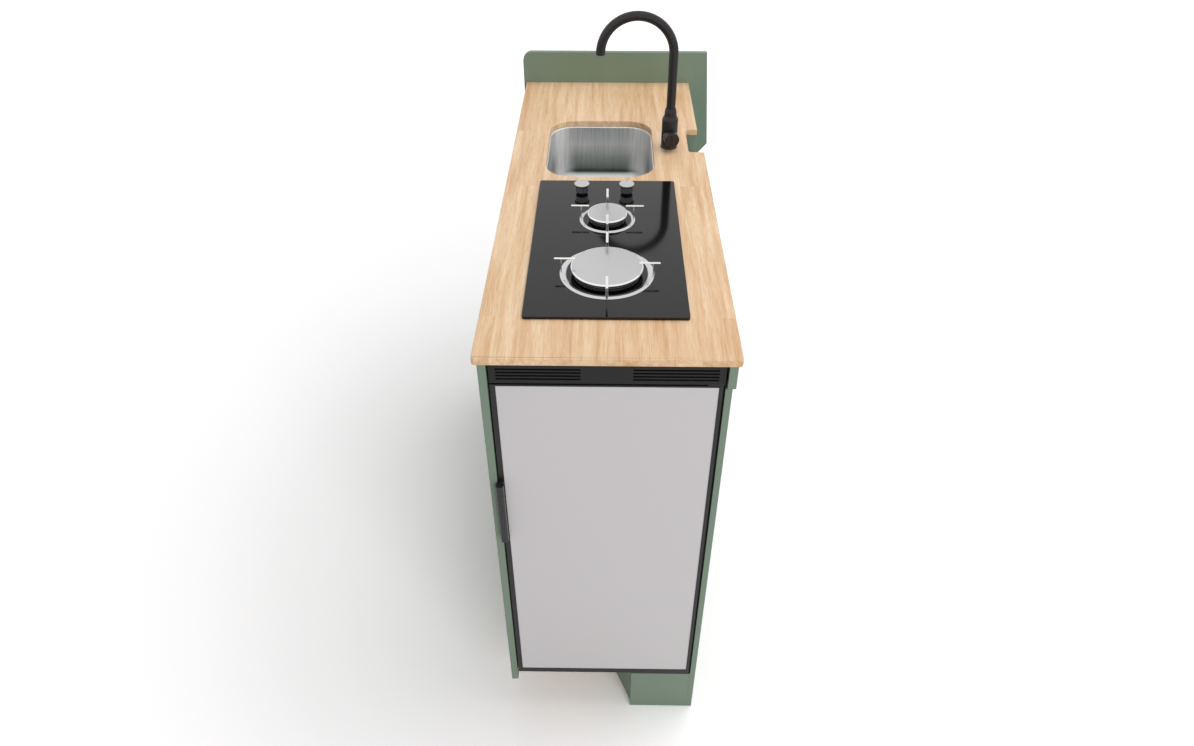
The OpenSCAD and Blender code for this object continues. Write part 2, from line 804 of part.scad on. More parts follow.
module door_handle() {
  z0 = handle_z - handle_l / 2;
  z1 = handle_z + handle_l / 2;
  r = 5;
  pin = lug_h - 0.5;
  color(c_black) place() {
    // bar: round towards the room, flat towards the door
    round_box(handle_x0, handle_x1 - 0.5, handle_y0, y_front - 2, z0, z1, r);
    box(handle_x0 + 2, handle_x1 - 2, y_front - 4, y_front - 1.5, z0, z1);
    rod(handle_pin_x, handle_pin_y, z0 - pin - rest_gap, z1 + pin + rest_gap, handle_pin_r);
  }
}

// ---------- Hob ----------

module hob_glass() {
  z0 = glass_z0 - overcut;
  z1 = glass_z1 + overcut;
  color(c_glass) place() difference() {
    round_box(hob_x0, hob_x1, hob_y, hob_y1, glass_z0, glass_z1, hob_corner_r);
    rod(burner_x, large_y, z0, z1, cup_large_r + cup_gap);
    rod(burner_x, small_y, z0, z1, cup_small_r + cup_gap);
    rod(knob_left_x, knob_y, z0, z1, stem_r + 1.5);
    rod(knob_right_x, knob_y, z0, z1, stem_r + 1.5);
  }
}

module hob_tray() {
  t = tray_t;
  rim = 9;
  color(c_steel) place() difference() {
    box(tray_x0, tray_x1, tray_y0, tray_y1, tray_z0, glass_z0);
    box(tray_x0 + t, tray_x1 - t, tray_y0 + t, tray_y1 - t, tray_z0 + t, glass_z0 - t);
    box(tray_x0 + rim, tray_x1 - rim, tray_y0 + rim, tray_y1 - rim, tray_z0 + t, glass_z0 + overcut);
    rod(inlet_x, manifold_y, tray_z0 - overcut, tray_z0 + t + overcut, gas_pipe_r + 0.5);
  }
}

// Pipes from the valves to the burner cups; extra widens them for the sockets
module feed_pipes(extra) {
  r = feed_r + extra;
  rod_y(feed_left_x, small_y - r, knob_y - 5, feed_z, r);
  rod_x(feed_left_x - r, burner_x - cup_small_r + 8, small_y, feed_z, r);
  rod_y(feed_right_x, large_y + 12, knob_y - 5, feed_z, r);
}

module burner(y, cup_r, cap_r) {
  head_z1 = glass_z1 + cap_top - cap_t;
  head_z0 = head_z1 - head_h;
  head_r = cap_r - head_inset;
  skirt_r = head_r - skirt_inset;
  place() difference() {
    turned(burner_x, y, [
      [0, tray_z0 + tray_t], [cup_r, tray_z0 + tray_t], [cup_r, glass_z1], [skirt_r, glass_z1],
      [skirt_r, head_z0], [head_r, head_z0 + 1], [head_r, head_z1], [0, head_z1]
    ]);
    feed_pipes(run_gap);
  }
}

module burner_large() {
  color("#3A3A3A") burner(large_y, cup_large_r, cap_large_r);
}

module burner_small() {
  color("#3A3A3A") burner(small_y, cup_small_r, cap_small_r);
}

module burner_cap(y, r) {
  z1 = glass_z1 + cap_top;
  edge = 1;
  color(c_grey) place() turned(burner_x, y, [
    [0, z1 - cap_t], [r - edge, z1 - cap_t], [r, z1 - cap_t + edge], [r, z1 - edge],
    [r - edge, z1], [0, z1]
  ]);
}

module burner_cap_large() {
  burner_cap(large_y, cap_large_r);
}

module burner_cap_small() {
  burner_cap(small_y, cap_small_r);
}

// A finger of a pan support, along +X: a bar on top and a leg that stands on the ring
module finger(r_in, r_out, r_ring, shift) {
  top = glass_z1 + support_top;
  leg_x = r_ring - 2;
  w = finger_w / 2;
  translate([0, shift, 0]) {
    box(r_in, r_out, -w, w, top - finger_t, top);
    box(leg_x - finger_t, leg_x, -w, w, glass_z1, top);
  }
}

module pan_support(y, r_in, r_out, r_ring, ring_w, right_shift) {
  color(c_steel) place() translate([burner_x, y, 0]) {
    translate([0, 0, glass_z1]) turned(0, 0, [
      [r_ring - ring_w, 0], [r_ring, 0], [r_ring, 0.8], [r_ring - 3, 2.6], [r_ring - 5, 3.2],
      [r_ring - ring_w, 2]
    ]);
    finger(r_in, r_out, r_ring, -right_shift);
    for (a = [90, 180, 270]) rotate([0, 0, a]) finger(r_in, r_out, r_ring, 0);
  }
}

module pan_support_large() {
  pan_support(large_y, finger_large_in, finger_large_out, ring_large_r, ring_large_w,
              finger_right_shift);
}

module pan_support_small() {
  pan_support(small_y, finger_small_in, finger_small_out, ring_small_r, ring_small_w, 0);
}

module gas_manifold() {
  cavity_gap = 0.2;
  color("#B08D57") place() difference() {
    union() {
      for (x = [knob_left_x, knob_right_x]) rod(x, knob_y, plug_z0 - 4, glass_z0, valve_r);
      rod_x(knob_left_x - 8, inlet_x + gas_pipe_r, manifold_y, manifold_z, manifold_r);
      rod(inlet_x, manifold_y, tray_z0 - inlet_free, manifold_z, gas_pipe_r);
      feed_pipes(0);
    }
    for (x = [knob_left_x, knob_right_x]) {
      rod(x, knob_y, plug_z0 - cavity_gap, plug_z1 + cavity_gap, plug_r + run_gap);
      rod(x, knob_y, plug_z1, glass_z0 + overcut, stem_r + 0.3);
    }
  }
}

module valve_plug(x) {
  color("#C9A96A") place() difference() {
    rod(x, knob_y, plug_z0, plug_z1, plug_r);
    rod(x, knob_y, stem_z0 - knob_travel - 1, plug_z1 + overcut, stem_r + run_gap);
  }
}

module valve_plug_left() {
  valve_plug(knob_left_x);
}

module valve_plug_right() {
  valve_plug(knob_right_x);
}

module valve_stem(x) {
  color(c_steel) place() rod(x, knob_y, stem_z0, stem_z1, stem_r);
}

module valve_stem_left() {
  valve_stem(knob_left_x);
}

module valve_stem_right() {
  valve_stem(knob_right_x);
}

module knob(x) {
  z0 = glass_z1 + knob_gap;
  z1 = glass_z1 + knob_top;
  rim = 3.5;
  edge = 0.8;
  color("#3C3C3E") place() difference() {
    turned(x, knob_y, [
      [0, z0], [knob_side_r - 1, z0], [knob_side_r, z0 + 1], [knob_side_r, z1 - rim - 1.5],
      [knob_r, z1 - rim], [knob_r, z1 - edge], [knob_r - edge, z1], [0, z1]
    ]);
    rod(x, knob_y, z0 - overcut, stem_z1, stem_r + push_gap);
    // pointer groove
    box(x - 0.6, x + 0.6, knob_y + knob_r - 7, knob_y + knob_r + overcut, z1 - 0.8, z1 + overcut);
  }
}

module knob_left() {
  knob(knob_left_x);
}

module knob_right() {
  knob(knob_right_x);
}

// ---------- Sink ----------

// Section of a basin: upright walls, w from its middle to each side, and a fillet at the floor
module basin_section(w0, w1, z0, z1, rf) {
  zf = z0 + rf;
  translate([w0, zf]) square([w1 - w0, z1 - zf]);
  translate([max(w0 + rf, 0), z0]) square([w1 - rf - max(w0 + rf, 0), rf + 0.5]);
  translate([w1 - rf, zf]) circle(rf);
}

// A basin: round upright corners of radius r and a fillet of radius rf round its floor
module basin(x0, x1, y0, y1, z0, z1, r, rf) {
  cx = (x0 + x1) / 2;
  cy = (y0 + y1) / 2;
  wx = (x1 - x0) / 2;
  wy = (y1 - y0) / 2;
  for (side = [0, 1]) {
    translate([x0 + r, cy, 0]) mirror([0, side, 0]) rotate([90, 0, 90])
      linear_extrude(x1 - x0 - 2 * r) basin_section(-1, wy, z0, z1, rf);
    translate([cx, y1 - r, 0]) mirror([side, 0, 0]) rotate([90, 0, 0])
      linear_extrude(y1 - y0 - 2 * r) basin_section(-1, wx, z0, z1, rf);
  }
  corners = [[x1 - r, y1 - r, 0], [x0 + r, y1 - r, 90], [x0 + r, y0 + r, 180], [x1 - r, y0 + r, 270]];
  for (c = corners) translate([c[0], c[1], 0]) rotate([0, 0, c[2]])
    rotate_extrude(angle = 90) basin_section(0, r, z0, z1, rf);
}

module sink_bowl() {
  t = sink_t;
  f = t + sink_flange;
  z1 = z_under + overcut;
  color(c_steel) place() difference() {
    union() {
      basin(bowl_x0 - t, bowl_x1 + t, bowl_y0 - t, bowl_y1 + t, bowl_z0 - t, z_under,
            bowl_r + t, bowl_fillet + t);
      round_box(bowl_x0 - f, bowl_x1 + f, bowl_y0 - f, bowl_y1 + f, z_under - t, z_under, bowl_r + f);
    }
    basin(bowl_x0, bowl_x1, bowl_y0, bowl_y1, bowl_z0, z1, bowl_r, bowl_fillet);
    rod(sink_x, sink_cy, bowl_z0 - t - overcut, bowl_z0 + overcut, waste_r + 0.5);
  }
}

module clip_at(x, y, a) {
  // screwed to the worktop beside the flange, with a tongue under it
  translate([x, y, z_under]) rotate([0, 0, a]) {
    translate([0.3, -clip_w / 2, -clip_t]) cube([clip_out, clip_w, clip_t]);
    translate([-6, -clip_w / 2, -clip_t]) cube([7, clip_w, clip_t - sink_t]);
  }
}

module sink_clips() {
  x0 = bowl_x0 - sink_t - sink_flange;
  x1 = bowl_x1 + sink_t + sink_flange;
  reach = sink_l * 0.26;
  color(c_steel) place() for (dy = [-reach, reach]) {
    clip_at(x0, sink_cy + dy, 180);
    clip_at(x1, sink_cy + dy, 0);
  }
}

module sink_waste() {
  z1 = bowl_z0 + 3;
  nut_z = bowl_z0 - sink_t;
  color(c_steel) place() turned(sink_x, sink_cy, [
    [waste_bore_r, waste_z0], [waste_r, waste_z0], [waste_r, nut_z - 9], [30, nut_z - 9],
    [30, nut_z], [waste_r, nut_z], [waste_r, bowl_z0], [waste_flange_r, bowl_z0],
    [waste_flange_r - 1.5, z1], [plug_seat_r, z1], [plug_seat_r, z1 - 1.5],
    [waste_bore_r, z1 - 1.5]
  ]);
}

module sink_plug() {
  z0 = bowl_z0 + 1.5;
  color("#8E9092") place() turned(sink_x, sink_cy, [
    [0, z0 - 12], [waste_bore_r - 0.4, z0 - 12], [waste_bore_r - 0.4, z0],
    [plug_seat_r - 0.5, z0], [plug_seat_r - 0.5, z0 + 1.5], [10, z0 + 3.5], [5, z0 + 4.5],
    [5, z0 + 14], [8, z0 + 15], [8, z0 + 18], [0, z0 + 18]
  ]);
}

module sink_trap() {
  r = trap_r;
  t = trap_t;
  neck_r = waste_r + 4;
  neck_z = waste_z0 + 16;
  color(c_white) place() difference() {
    union() {
      turned(sink_x, sink_cy, [
        [0, trap_z0], [r - 4, trap_z0], [r, trap_z0 + 4], [r, waste_z0 - 4], [neck_r, waste_z0 - 4],
        [neck_r, neck_z], [waste_r + run_gap, neck_z], [waste_r + run_gap, waste_z0 - 0.5],
        [r - t, waste_z0 - 4 - t], [r - t, trap_z0 + 4], [0, trap_z0 + 4]
      ]);
      rod_x(sink_x + r - t, sink_x + r + spigot_l, sink_cy, spigot_z, spigot_r);
    }
    rod_x(sink_x + r - t - overcut, sink_x + r + spigot_l + overcut, sink_cy, spigot_z,
          spigot_r - 2.5);
  }
}

// ---------- Tap ----------

// A horizontal cylinder from distance d0 to d1 along the tap handle's direction
module side_rod(d0, d1, r) {
  translate([tap_x, tap_y, worktop_h + lever_z]) rotate([0, 0, handle_angle - 90])
    rotate([0, 90, 0]) translate([0, 0, d0]) cylinder(h = d1 - d0, r = r);
}

module tap_body() {
  w = worktop_h;
  color(c_black) place() difference() {
    union() {
      turned(tap_x, tap_y, [
        [0, w - tap_shank_l], [tap_shank_r, w - tap_shank_l], [tap_shank_r, w], [tap_foot_r, w],
        [tap_foot_r, w + 2.5], [tap_r, w + 3.5], [tap_r, w + 70], [tap_r - 1.6, w + 73.5],
        [spout_r + 4.2, w + 77], [spout_r + 3.6, w + 88], [spout_r + 2.6, w + 92],
        [spout_r + 0.8, w + neck_z], [0, w + neck_z]
      ]);
      side_rod(0, handle_split, handle_r);
      for (dx = [-7, 7])
        rod(tap_x + dx, tap_y, w - tap_shank_l - tap_tail_l, w - tap_shank_l + overcut, tap_tail_r);
    }
    rod(tap_x, tap_y, w + socket_z, w + neck_z + overcut, spout_r + run_gap);
    side_rod(handle_split - 13, handle_split + overcut, spindle_r + run_gap);
  }
}

module tap_locknut() {
  color("#9A7B3C") place() difference() {
    rod(tap_x, tap_y, z_under - nut_h, z_under, nut_r);
    rod(tap_x, tap_y, z_under - nut_h - overcut, z_under + overcut, tap_shank_r + run_gap);
  }
}

module tap_spout() {
  zc = worktop_h + arch_z;
  z0 = worktop_h + socket_z + rest_gap;
  ri = spout_r - spout_wall;
  color(c_black) place() {
    difference() {
      rod(tap_x, tap_y, z0, zc, spout_r);
      rod(tap_x, tap_y, z0 - overcut, zc + overcut, ri);
    }
    translate([tap_x - arch_r, tap_y, zc]) rotate([90, 0, 0]) rotate_extrude(angle = 180)
      translate([arch_r, 0]) difference() {
        circle(spout_r);
        circle(ri);
      }
    difference() {
      rod(tap_x - 2 * arch_r, tap_y, zc - 2, zc, spout_r);
      rod(tap_x - 2 * arch_r, tap_y, zc - 2 - overcut, zc + overcut, ri);
    }
  }
}

module tap_handle() {
  color(c_black) place() {
    side_rod(handle_split - 11, handle_split + 1, spindle_r);
    side_rod(handle_split + rest_gap, handle_reach - 2, handle_r);
    // grip ridge across the end
    intersection() {
      side_rod(handle_reach - 3, handle_reach, handle_r);
      translate([tap_x, tap_y, worktop_h + lever_z]) rotate([0, 0, handle_angle - 90])
        translate([0, -3, -handle_r]) cube([handle_reach + 5, 6, 2 * handle_r]);
    }
  }
}

// ---------- Fronts on the aisle side ----------

module lock_hole(y, z) {
  rod_x(fx_out - overcut, fx_in + overcut, y, z, lock_r + lock_gap);
}

module lock(y, z) {
  color(c_steel) place() {
    rod_x(fx_out - lock_proud, fx_in + lock_tail, y, z, lock_r);
    rod_x(fx_out - lock_proud, fx_out - rest_gap, y, z, lock_r + 2.5);
  }
}

module sink_door() {
  color(c_board) place() difference() {
    box(fx_out, fx_in, y_door0, y_door1, aisle_lift, front_z1);
    lock_hole(lock_door_y, lock_z_upper);
  }
}

module lock_sink_door() {
  lock(lock_door_y, lock_z_upper);
}

module hinge_leaves_fixed() {
  k = leaf_h * 0.3;
  color(c_steel) place() for (z = hinge_zs) {
    box(barrel_x, leaf_x1, y_board_end, y_board_end + leaf_t, z, z + k);
    box(barrel_x, leaf_x1, y_board_end, y_board_end + leaf_t, z + leaf_h - k, z + leaf_h);
    box(barrel_x + barrel_r + 1, leaf_x1, y_board_end, y_board_end + leaf_t, z, z + leaf_h);
    rod(barrel_x, barrel_y, z, z + k, barrel_r);
    rod(barrel_x, barrel_y, z + leaf_h - k, z + leaf_h, barrel_r);
    rod(barrel_x, barrel_y, z + 1, z + leaf_h - 1, barrel_pin_r);
  }
}

module hinge_leaves_moving() {
  k = leaf_h * 0.3 + rest_gap;
  color(c_steel) place() for (z = hinge_zs) difference() {
    union() {
      box(barrel_x, leaf_x1, y_door0 - leaf_t, y_door0, z + k, z + leaf_h - k);
      box(barrel_x + barrel_r + 1, leaf_x1, y_door0 - leaf_t, y_door0, z, z + leaf_h);
      rod(barrel_x, barrel_y, z + k, z + leaf_h - k, barrel_r);
    }
    rod(barrel_x, barrel_y, z - overcut, z + leaf_h + overcut, barrel_pin_r + run_gap);
  }
}

module runner_pair(box_z) {
  z0 = box_z - lip_t - 0.2;
  x0 = x_aisle_in + 4;
  div_face = divider2_y + board_t;
  box(x0, box_x1, div_face, div_face + runner_w, z0, z0 + runner_h);
  box(x0, box_x1, div_face, div_face + runner_w + lip_w, z0, z0 + lip_t);
  box(x0, box_x1, y_end - runner_w, y_end, z0, z0 + runner_h);
  box(x0, box_x1, y_end - runner_w - lip_w, y_end, z0, z0 + lip_t);
}

module drawer_runners() {
  color(c_steel) place() {
    runner_pair(upper_box_z);
    runner_pair(lower_box_z);
  }
}

module drawer_front(z0, z1, lock_z) {
  color(c_board) place() difference() {
    box(fx_out, fx_in, y_drawer0, y_drawer1, z0, z1);
    lock_hole(lock_drawer_y, lock_z);
  }
}

// Open at the front, where the drawer's front closes it
module drawer_box(z, h) {
  t = drawer_wall;
  color("#D9C7A8") place() difference() {
    box(fx_in, box_x1, box_y0, box_y1, z, z + h);
    box(fx_in - overcut, box_x1 - t, box_y0 + t, box_y1 - t, z + drawer_floor, z + h + overcut);
  }
}

module drawer_front_upper() {
  drawer_front(upper_z0, front_z1, lock_z_upper);
}

module drawer_front_lower() {
  drawer_front(aisle_lift, lower_z1, lock_z_lower);
}

module drawer_box_upper() {
  drawer_box(upper_box_z, upper_box_h);
}

module drawer_box_lower() {
  drawer_box(lower_box_z, lower_box_h);
}

module lock_drawer_upper() {
  lock(lock_drawer_y, lock_z_upper);
}

module lock_drawer_lower() {
  lock(lock_drawer_y, lock_z_lower);
}

worktop();
side_board_aisle();
side_board_wall();
battens();
end_panel();
divider_fridge();
divider_drawers();
base_board();
plinth_front();
plinth_return();
plinth_aisle();
fridge_shell();
fridge_liner();
fridge_grille();
fridge_hinges();
fridge_shelf_upper();
fridge_shelf_lower();
compressor();
door_core();
door_frame();
door_panel();
door_gasket();
door_bin_upper();
door_bin_lower();
door_handle();
hob_glass();
hob_tray();
burner_large();
burner_small();
burner_cap_large();
burner_cap_small();
pan_support_large();
pan_support_small();
gas_manifold();
valve_plug_left();
valve_plug_right();
valve_stem_left();
valve_stem_right();
knob_left();
knob_right();
sink_bowl();
sink_clips();
sink_waste();
sink_plug();
sink_trap();
tap_body();
tap_locknut();
tap_spout();
tap_handle();
sink_door();
hinge_leaves_fixed();
hinge_leaves_moving();
drawer_runners();
drawer_front_upper();
drawer_box_upper();
drawer_front_lower();
drawer_box_lower();
lock_sink_door();
lock_drawer_upper();
lock_drawer_lower();
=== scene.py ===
# %% [markdown] # A slim kitchenette unit This lesson dresses a kitchenette: an oak worktop
# with a gas hob, a sink and a swan-neck tap, over a tall fridge, a cupboard and two
# drawers. Blender adds what the solids can't carry: eased edges, turned and bent metal,
# grain, brushing and the studio light.

# %% Load the frame
import json
import math
import bpy
import bmesh
from mathutils import Matrix, Vector


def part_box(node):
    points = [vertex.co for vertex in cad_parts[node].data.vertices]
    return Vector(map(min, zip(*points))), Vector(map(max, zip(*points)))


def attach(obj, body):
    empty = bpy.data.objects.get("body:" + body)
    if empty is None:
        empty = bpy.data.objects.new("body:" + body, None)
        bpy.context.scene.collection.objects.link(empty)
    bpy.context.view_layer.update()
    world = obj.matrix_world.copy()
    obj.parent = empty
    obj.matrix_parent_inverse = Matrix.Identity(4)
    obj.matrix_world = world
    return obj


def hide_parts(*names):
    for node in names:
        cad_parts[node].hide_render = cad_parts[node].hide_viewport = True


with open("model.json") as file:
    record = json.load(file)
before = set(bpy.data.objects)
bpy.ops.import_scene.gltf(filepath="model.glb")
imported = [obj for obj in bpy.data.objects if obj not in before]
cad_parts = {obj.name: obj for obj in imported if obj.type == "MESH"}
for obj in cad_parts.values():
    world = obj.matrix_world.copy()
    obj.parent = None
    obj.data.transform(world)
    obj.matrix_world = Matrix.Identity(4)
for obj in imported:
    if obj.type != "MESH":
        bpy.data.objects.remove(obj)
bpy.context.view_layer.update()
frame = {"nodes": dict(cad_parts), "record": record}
MM = 0.001

# %% [markdown]
# ## Camera
# The photograph looks down along the worktop from just in front of its near end. The lens of
# 25.8 mm is wide, so the far end looks much narrower than the near one. `to_track_quat`
# turns the camera to look along a vector.

# %% Camera
def as_object(name, data):
    """Puts a mesh, a lamp or a camera in the scene under a name."""
    piece = bpy.data.objects.new(name, data)
    bpy.context.scene.collection.objects.link(piece)
    return piece


camera_data = bpy.data.cameras.new("studio_camera")
camera = as_object("studio_camera", camera_data)
camera_data.sensor_width = 36.0
camera_data.lens = 25.77
camera.location = (-0.02811, -1.74562, 1.990)
view_direction = Vector((-0.01008, 0.77310, -0.63419))
camera.rotation_mode = "QUATERNION"
camera.rotation_quaternion = view_direction.to_track_quat("-Z", "Y")
camera_data.clip_start, camera_data.clip_end = 0.05, 60
bpy.context.scene.camera = camera
print("Camera looks", round(math.degrees(math.asin(-view_direction.z)), 1), "degrees down")

# %% [markdown]
# ## Node helper
# Materials and Geometry Nodes are both trees of nodes. One helper adds a node of any kind:
# `values` fills sockets by name or number, `links` joins sockets, and the other words set
# the node's own properties. Colours are written as sRGB hex and turned to linear here.

# %% Helpers for colours and nodes
def linear(hex_colour):
    """An sRGB hex colour as linear RGBA."""
    parts = [int(hex_colour[i:i + 2], 16) / 255 for i in (1, 3, 5)]
    lin = [c / 12.92 if c <= 0.04045 else ((c + 0.055) / 1.055) ** 2.4 for c in parts]
    return (*lin, 1.0)


def add(tree, kind, values=None, links=None, **properties):
    """Adds one node, sets its properties and sockets, and links its inputs."""
    node = tree.nodes.new(kind)
    for key, value in properties.items():
        setattr(node, key, value)
    for key, value in (values or {}).items():
        node.inputs[key].default_value = value
    for key, source in (links or {}).items():
        tree.links.new(source, node.inputs[key])
    return node


def finish_of(name, colour, roughness, metallic=0.0, **sockets):
    """A new material: its node tree, its shader, and the object coordinates for patterns."""
    material = bpy.data.materials.new(name)
    material.use_nodes = True
    tree = material.node_tree
    shader = tree.nodes["Principled BSDF"]
    shader.inputs["Base Color"].default_value = linear(colour)
    shader.inputs["Roughness"].default_value = roughness
    shader.inputs["Metallic"].default_value = metallic
    for key, value in sockets.items():
        shader.inputs[key.replace("_", " ")].default_value = value
    place = add(tree, "ShaderNodeTexCoord").outputs["Object"]
    return material, tree, shader, place


print("Mid grey in linear light:", round(linear("#808080")[0], 3))

# %% Helpers for patterns
def noise(tree, place, scale, detail, **values):
    """A noise pattern over some coordinates, from 0 to 1."""
    return add(tree, "ShaderNodeTexNoise", {"Scale": scale, "Detail": detail, **values},
               {"Vector": place}).outputs["Fac"]


def stretch(tree, place, scale):
    """Scaled coordinates: a small number draws a pattern out along its axis."""
    return add(tree, "ShaderNodeMapping", {"Scale": scale}, {"Vector": place}).outputs[0]


def tinted(tree, shader, pattern, first, second):
    """Lets a pattern choose between two colours."""
    colour = add(tree, "ShaderNodeMix", {"A": linear(first), "B": linear(second)},
                 {"Factor": pattern}, data_type="RGBA")
    tree.links.new(colour.outputs["Result"], shader.inputs["Base Color"])


def raised(tree, shader, pattern, strength, metres):
    """Lets a pattern raise the surface."""
    bump = add(tree, "ShaderNodeBump", {"Strength": strength, "Distance": metres},
               {"Height": pattern})
    tree.links.new(bump.outputs["Normal"], shader.inputs["Normal"])


def ranged(tree, shader, pattern, low, high, socket="Roughness"):
    """Lets a pattern drive a socket between two values."""
    span = add(tree, "ShaderNodeMapRange", {"To Min": low, "To Max": high}, {"Value": pattern})
    tree.links.new(span.outputs[0], shader.inputs[socket])


def ramp(tree, value, first, last, *between):
    """Colours that follow a value, from stops of (position, colour)."""
    node = add(tree, "ShaderNodeValToRGB", links={"Fac": value})
    stops = node.color_ramp.elements
    for k, (position, colour) in enumerate((first, last)):
        stops[k].position, stops[k].color = position, linear(colour)
    for position, colour in between:
        stops.new(position).color = linear(colour)
    return node.outputs["Color"]


print("Helpers:", [helper.__name__ for helper in (noise, stretch, tinted, raised, ramp)])

# %% [markdown]
# ## Light and floor
# The world is white to the camera and in reflections, so glass and steel show a pale room.
# Two big soft lamps, one in front and one above, give the shapes a direction and the floor
# its shadow. They don't show in reflections, so no bright square lies on the glass.

# %% World
def studio_world(lighting=0.38):
    """A world that is seen as full white and lights the object at a lower level."""
    bpy.context.scene.view_settings.view_transform = "Standard"
    world = bpy.data.worlds.new("studio_world")
    bpy.context.scene.world = world
    world.use_nodes = True
    tree = world.node_tree
    background = tree.nodes["Background"]
    rays = add(tree, "ShaderNodeLightPath")
    seen = rays.outputs["Is Camera Ray"]
    for kind in ("Is Glossy Ray", "Is Transmission Ray"):
        seen = add(tree, "ShaderNodeMath", links={0: seen, 1: rays.outputs[kind]},
                   operation="MAXIMUM").outputs[0]
    strength = add(tree, "ShaderNodeMapRange", links={"Value": seen},
                   values={"To Min": lighting, "To Max": 1.0})
    background.inputs["Color"].default_value = (1, 1, 1, 1)
    tree.links.new(strength.outputs["Result"], background.inputs["Strength"])
    return world


print("World:", studio_world().name)

# %% Floor
def studio_floor(reach=14.0):
    """White paper that reaches so many metres to each side."""
    floor_mesh = bpy.data.meshes.new("floor")
    floor_mesh.from_pydata([(-reach, -reach, 0), (reach, -reach, 0), (reach, reach, 0),
                            (-reach, reach, 0)], [], [(0, 1, 2, 3)])
    floor = as_object("floor", floor_mesh)
    paper, tree, shader, place = finish_of("white_floor", "#F4F4F4", 1.0)
    shader.inputs["Specular IOR Level"].default_value = 0.0
    # the camera sees the paper lifted to white, more so far away where the lamps fade, and
    # the shadow keeps its share of the light
    rays = add(tree, "ShaderNodeLightPath")
    away = add(tree, "ShaderNodeVectorMath", links={0: place}, operation="LENGTH")
    lift = add(tree, "ShaderNodeMapRange", {"From Min": 1.0, "From Max": 5.5, "To Min": 1.3,
               "To Max": 2.6}, {"Value": away.outputs["Value"]})
    white = add(tree, "ShaderNodeVectorMath", {0: (1.0, 0.985, 0.99)},
                {1: lift.outputs["Result"]}, operation="MULTIPLY")
    lifted = add(tree, "ShaderNodeBsdfDiffuse", links={"Color": white.outputs["Vector"]})
    mix = add(tree, "ShaderNodeMixShader", links={"Fac": rays.outputs["Is Camera Ray"],
              1: shader.outputs["BSDF"], 2: lifted.outputs["BSDF"]})
    tree.links.new(mix.outputs[0], tree.nodes["Material Output"].inputs["Surface"])
    floor_mesh.materials.append(paper)
    return floor


print("Floor:", studio_floor().name)

# %% Lamps
unit_middle = Vector((0, 0, 0.7))


def soft_lamp(name, place, size, watts):
    """A square lamp that looks at the middle of the unit."""
    data = bpy.data.lights.new(name, "AREA")
    data.size, data.energy = size, watts
    lamp = as_object(name, data)
    lamp.location = place
    lamp.rotation_euler = (unit_middle - Vector(place)).to_track_quat("-Z", "Y").to_euler()
    lamp.visible_glossy = False
    return lamp


print("Lamps:", soft_lamp("front_lamp", (2.0, -5.2, 2.9), 3.2, 128.0).name,
      soft_lamp("top_lamp", (1.1, 0.5, 4.3), 3.2, 82.0).name)

# %% [markdown]
# ## Oak laminate
# The worktop is glued from oak staves about 45 mm wide and then lacquered. A Brick texture
# gives each stave its own tone, and the same value shifts the grain so that it breaks at
# the glue lines. Grain is noise stretched along Y; pores are the same, finer and sharper.

# %% Oak staves and grain
stave_l, stave_w = 0.8, 0.045  # metres


def oak_grain(tree, place):
    """The staves' own tones, the stretched coordinates, and the grain along Y."""
    turned = add(tree, "ShaderNodeMapping", {"Rotation": (0, 0, math.radians(90))},
                 {"Vector": place})
    staves = add(tree, "ShaderNodeTexBrick",
                 {"Scale": 1.0, "Brick Width": stave_l, "Row Height": stave_w,
                  "Mortar Size": 0.0, "Bias": 0.0, "Color1": (0, 0, 0, 1),
                  "Color2": (1, 1, 1, 1)}, {"Vector": turned.outputs[0]}, offset=0.37)
    shift = add(tree, "ShaderNodeVectorMath", {1: (0.7, 3.1, 0.9)},
                {0: staves.outputs["Color"]}, operation="MULTIPLY")
    moved = add(tree, "ShaderNodeVectorMath", links={0: place, 1: shift.outputs[0]},
                operation="ADD")
    bent = add(tree, "ShaderNodeTexNoise", {"Scale": 3.0, "Detail": 1.0},
               {"Vector": moved.outputs[0]})
    sway = add(tree, "ShaderNodeVectorMath", {1: (0.02, 0.0, 0.02)},
               {0: bent.outputs["Color"]}, operation="MULTIPLY")
    swayed = add(tree, "ShaderNodeVectorMath", links={0: moved.outputs[0], 1: sway.outputs[0]},
                 operation="ADD")
    stretched = stretch(tree, swayed.outputs[0], (1.0, 0.045, 1.0))
    bands = noise(tree, stretched, 75.0, 3.0, Roughness=0.55)
    fine = noise(tree, stretched, 420.0, 2.0)
    grain = add(tree, "ShaderNodeMix", {"Factor": 0.3}, {"A": bands, "B": fine},
                data_type="FLOAT")
    return staves, stretched, grain


print("Staves:", round(stave_w / MM), "mm wide")

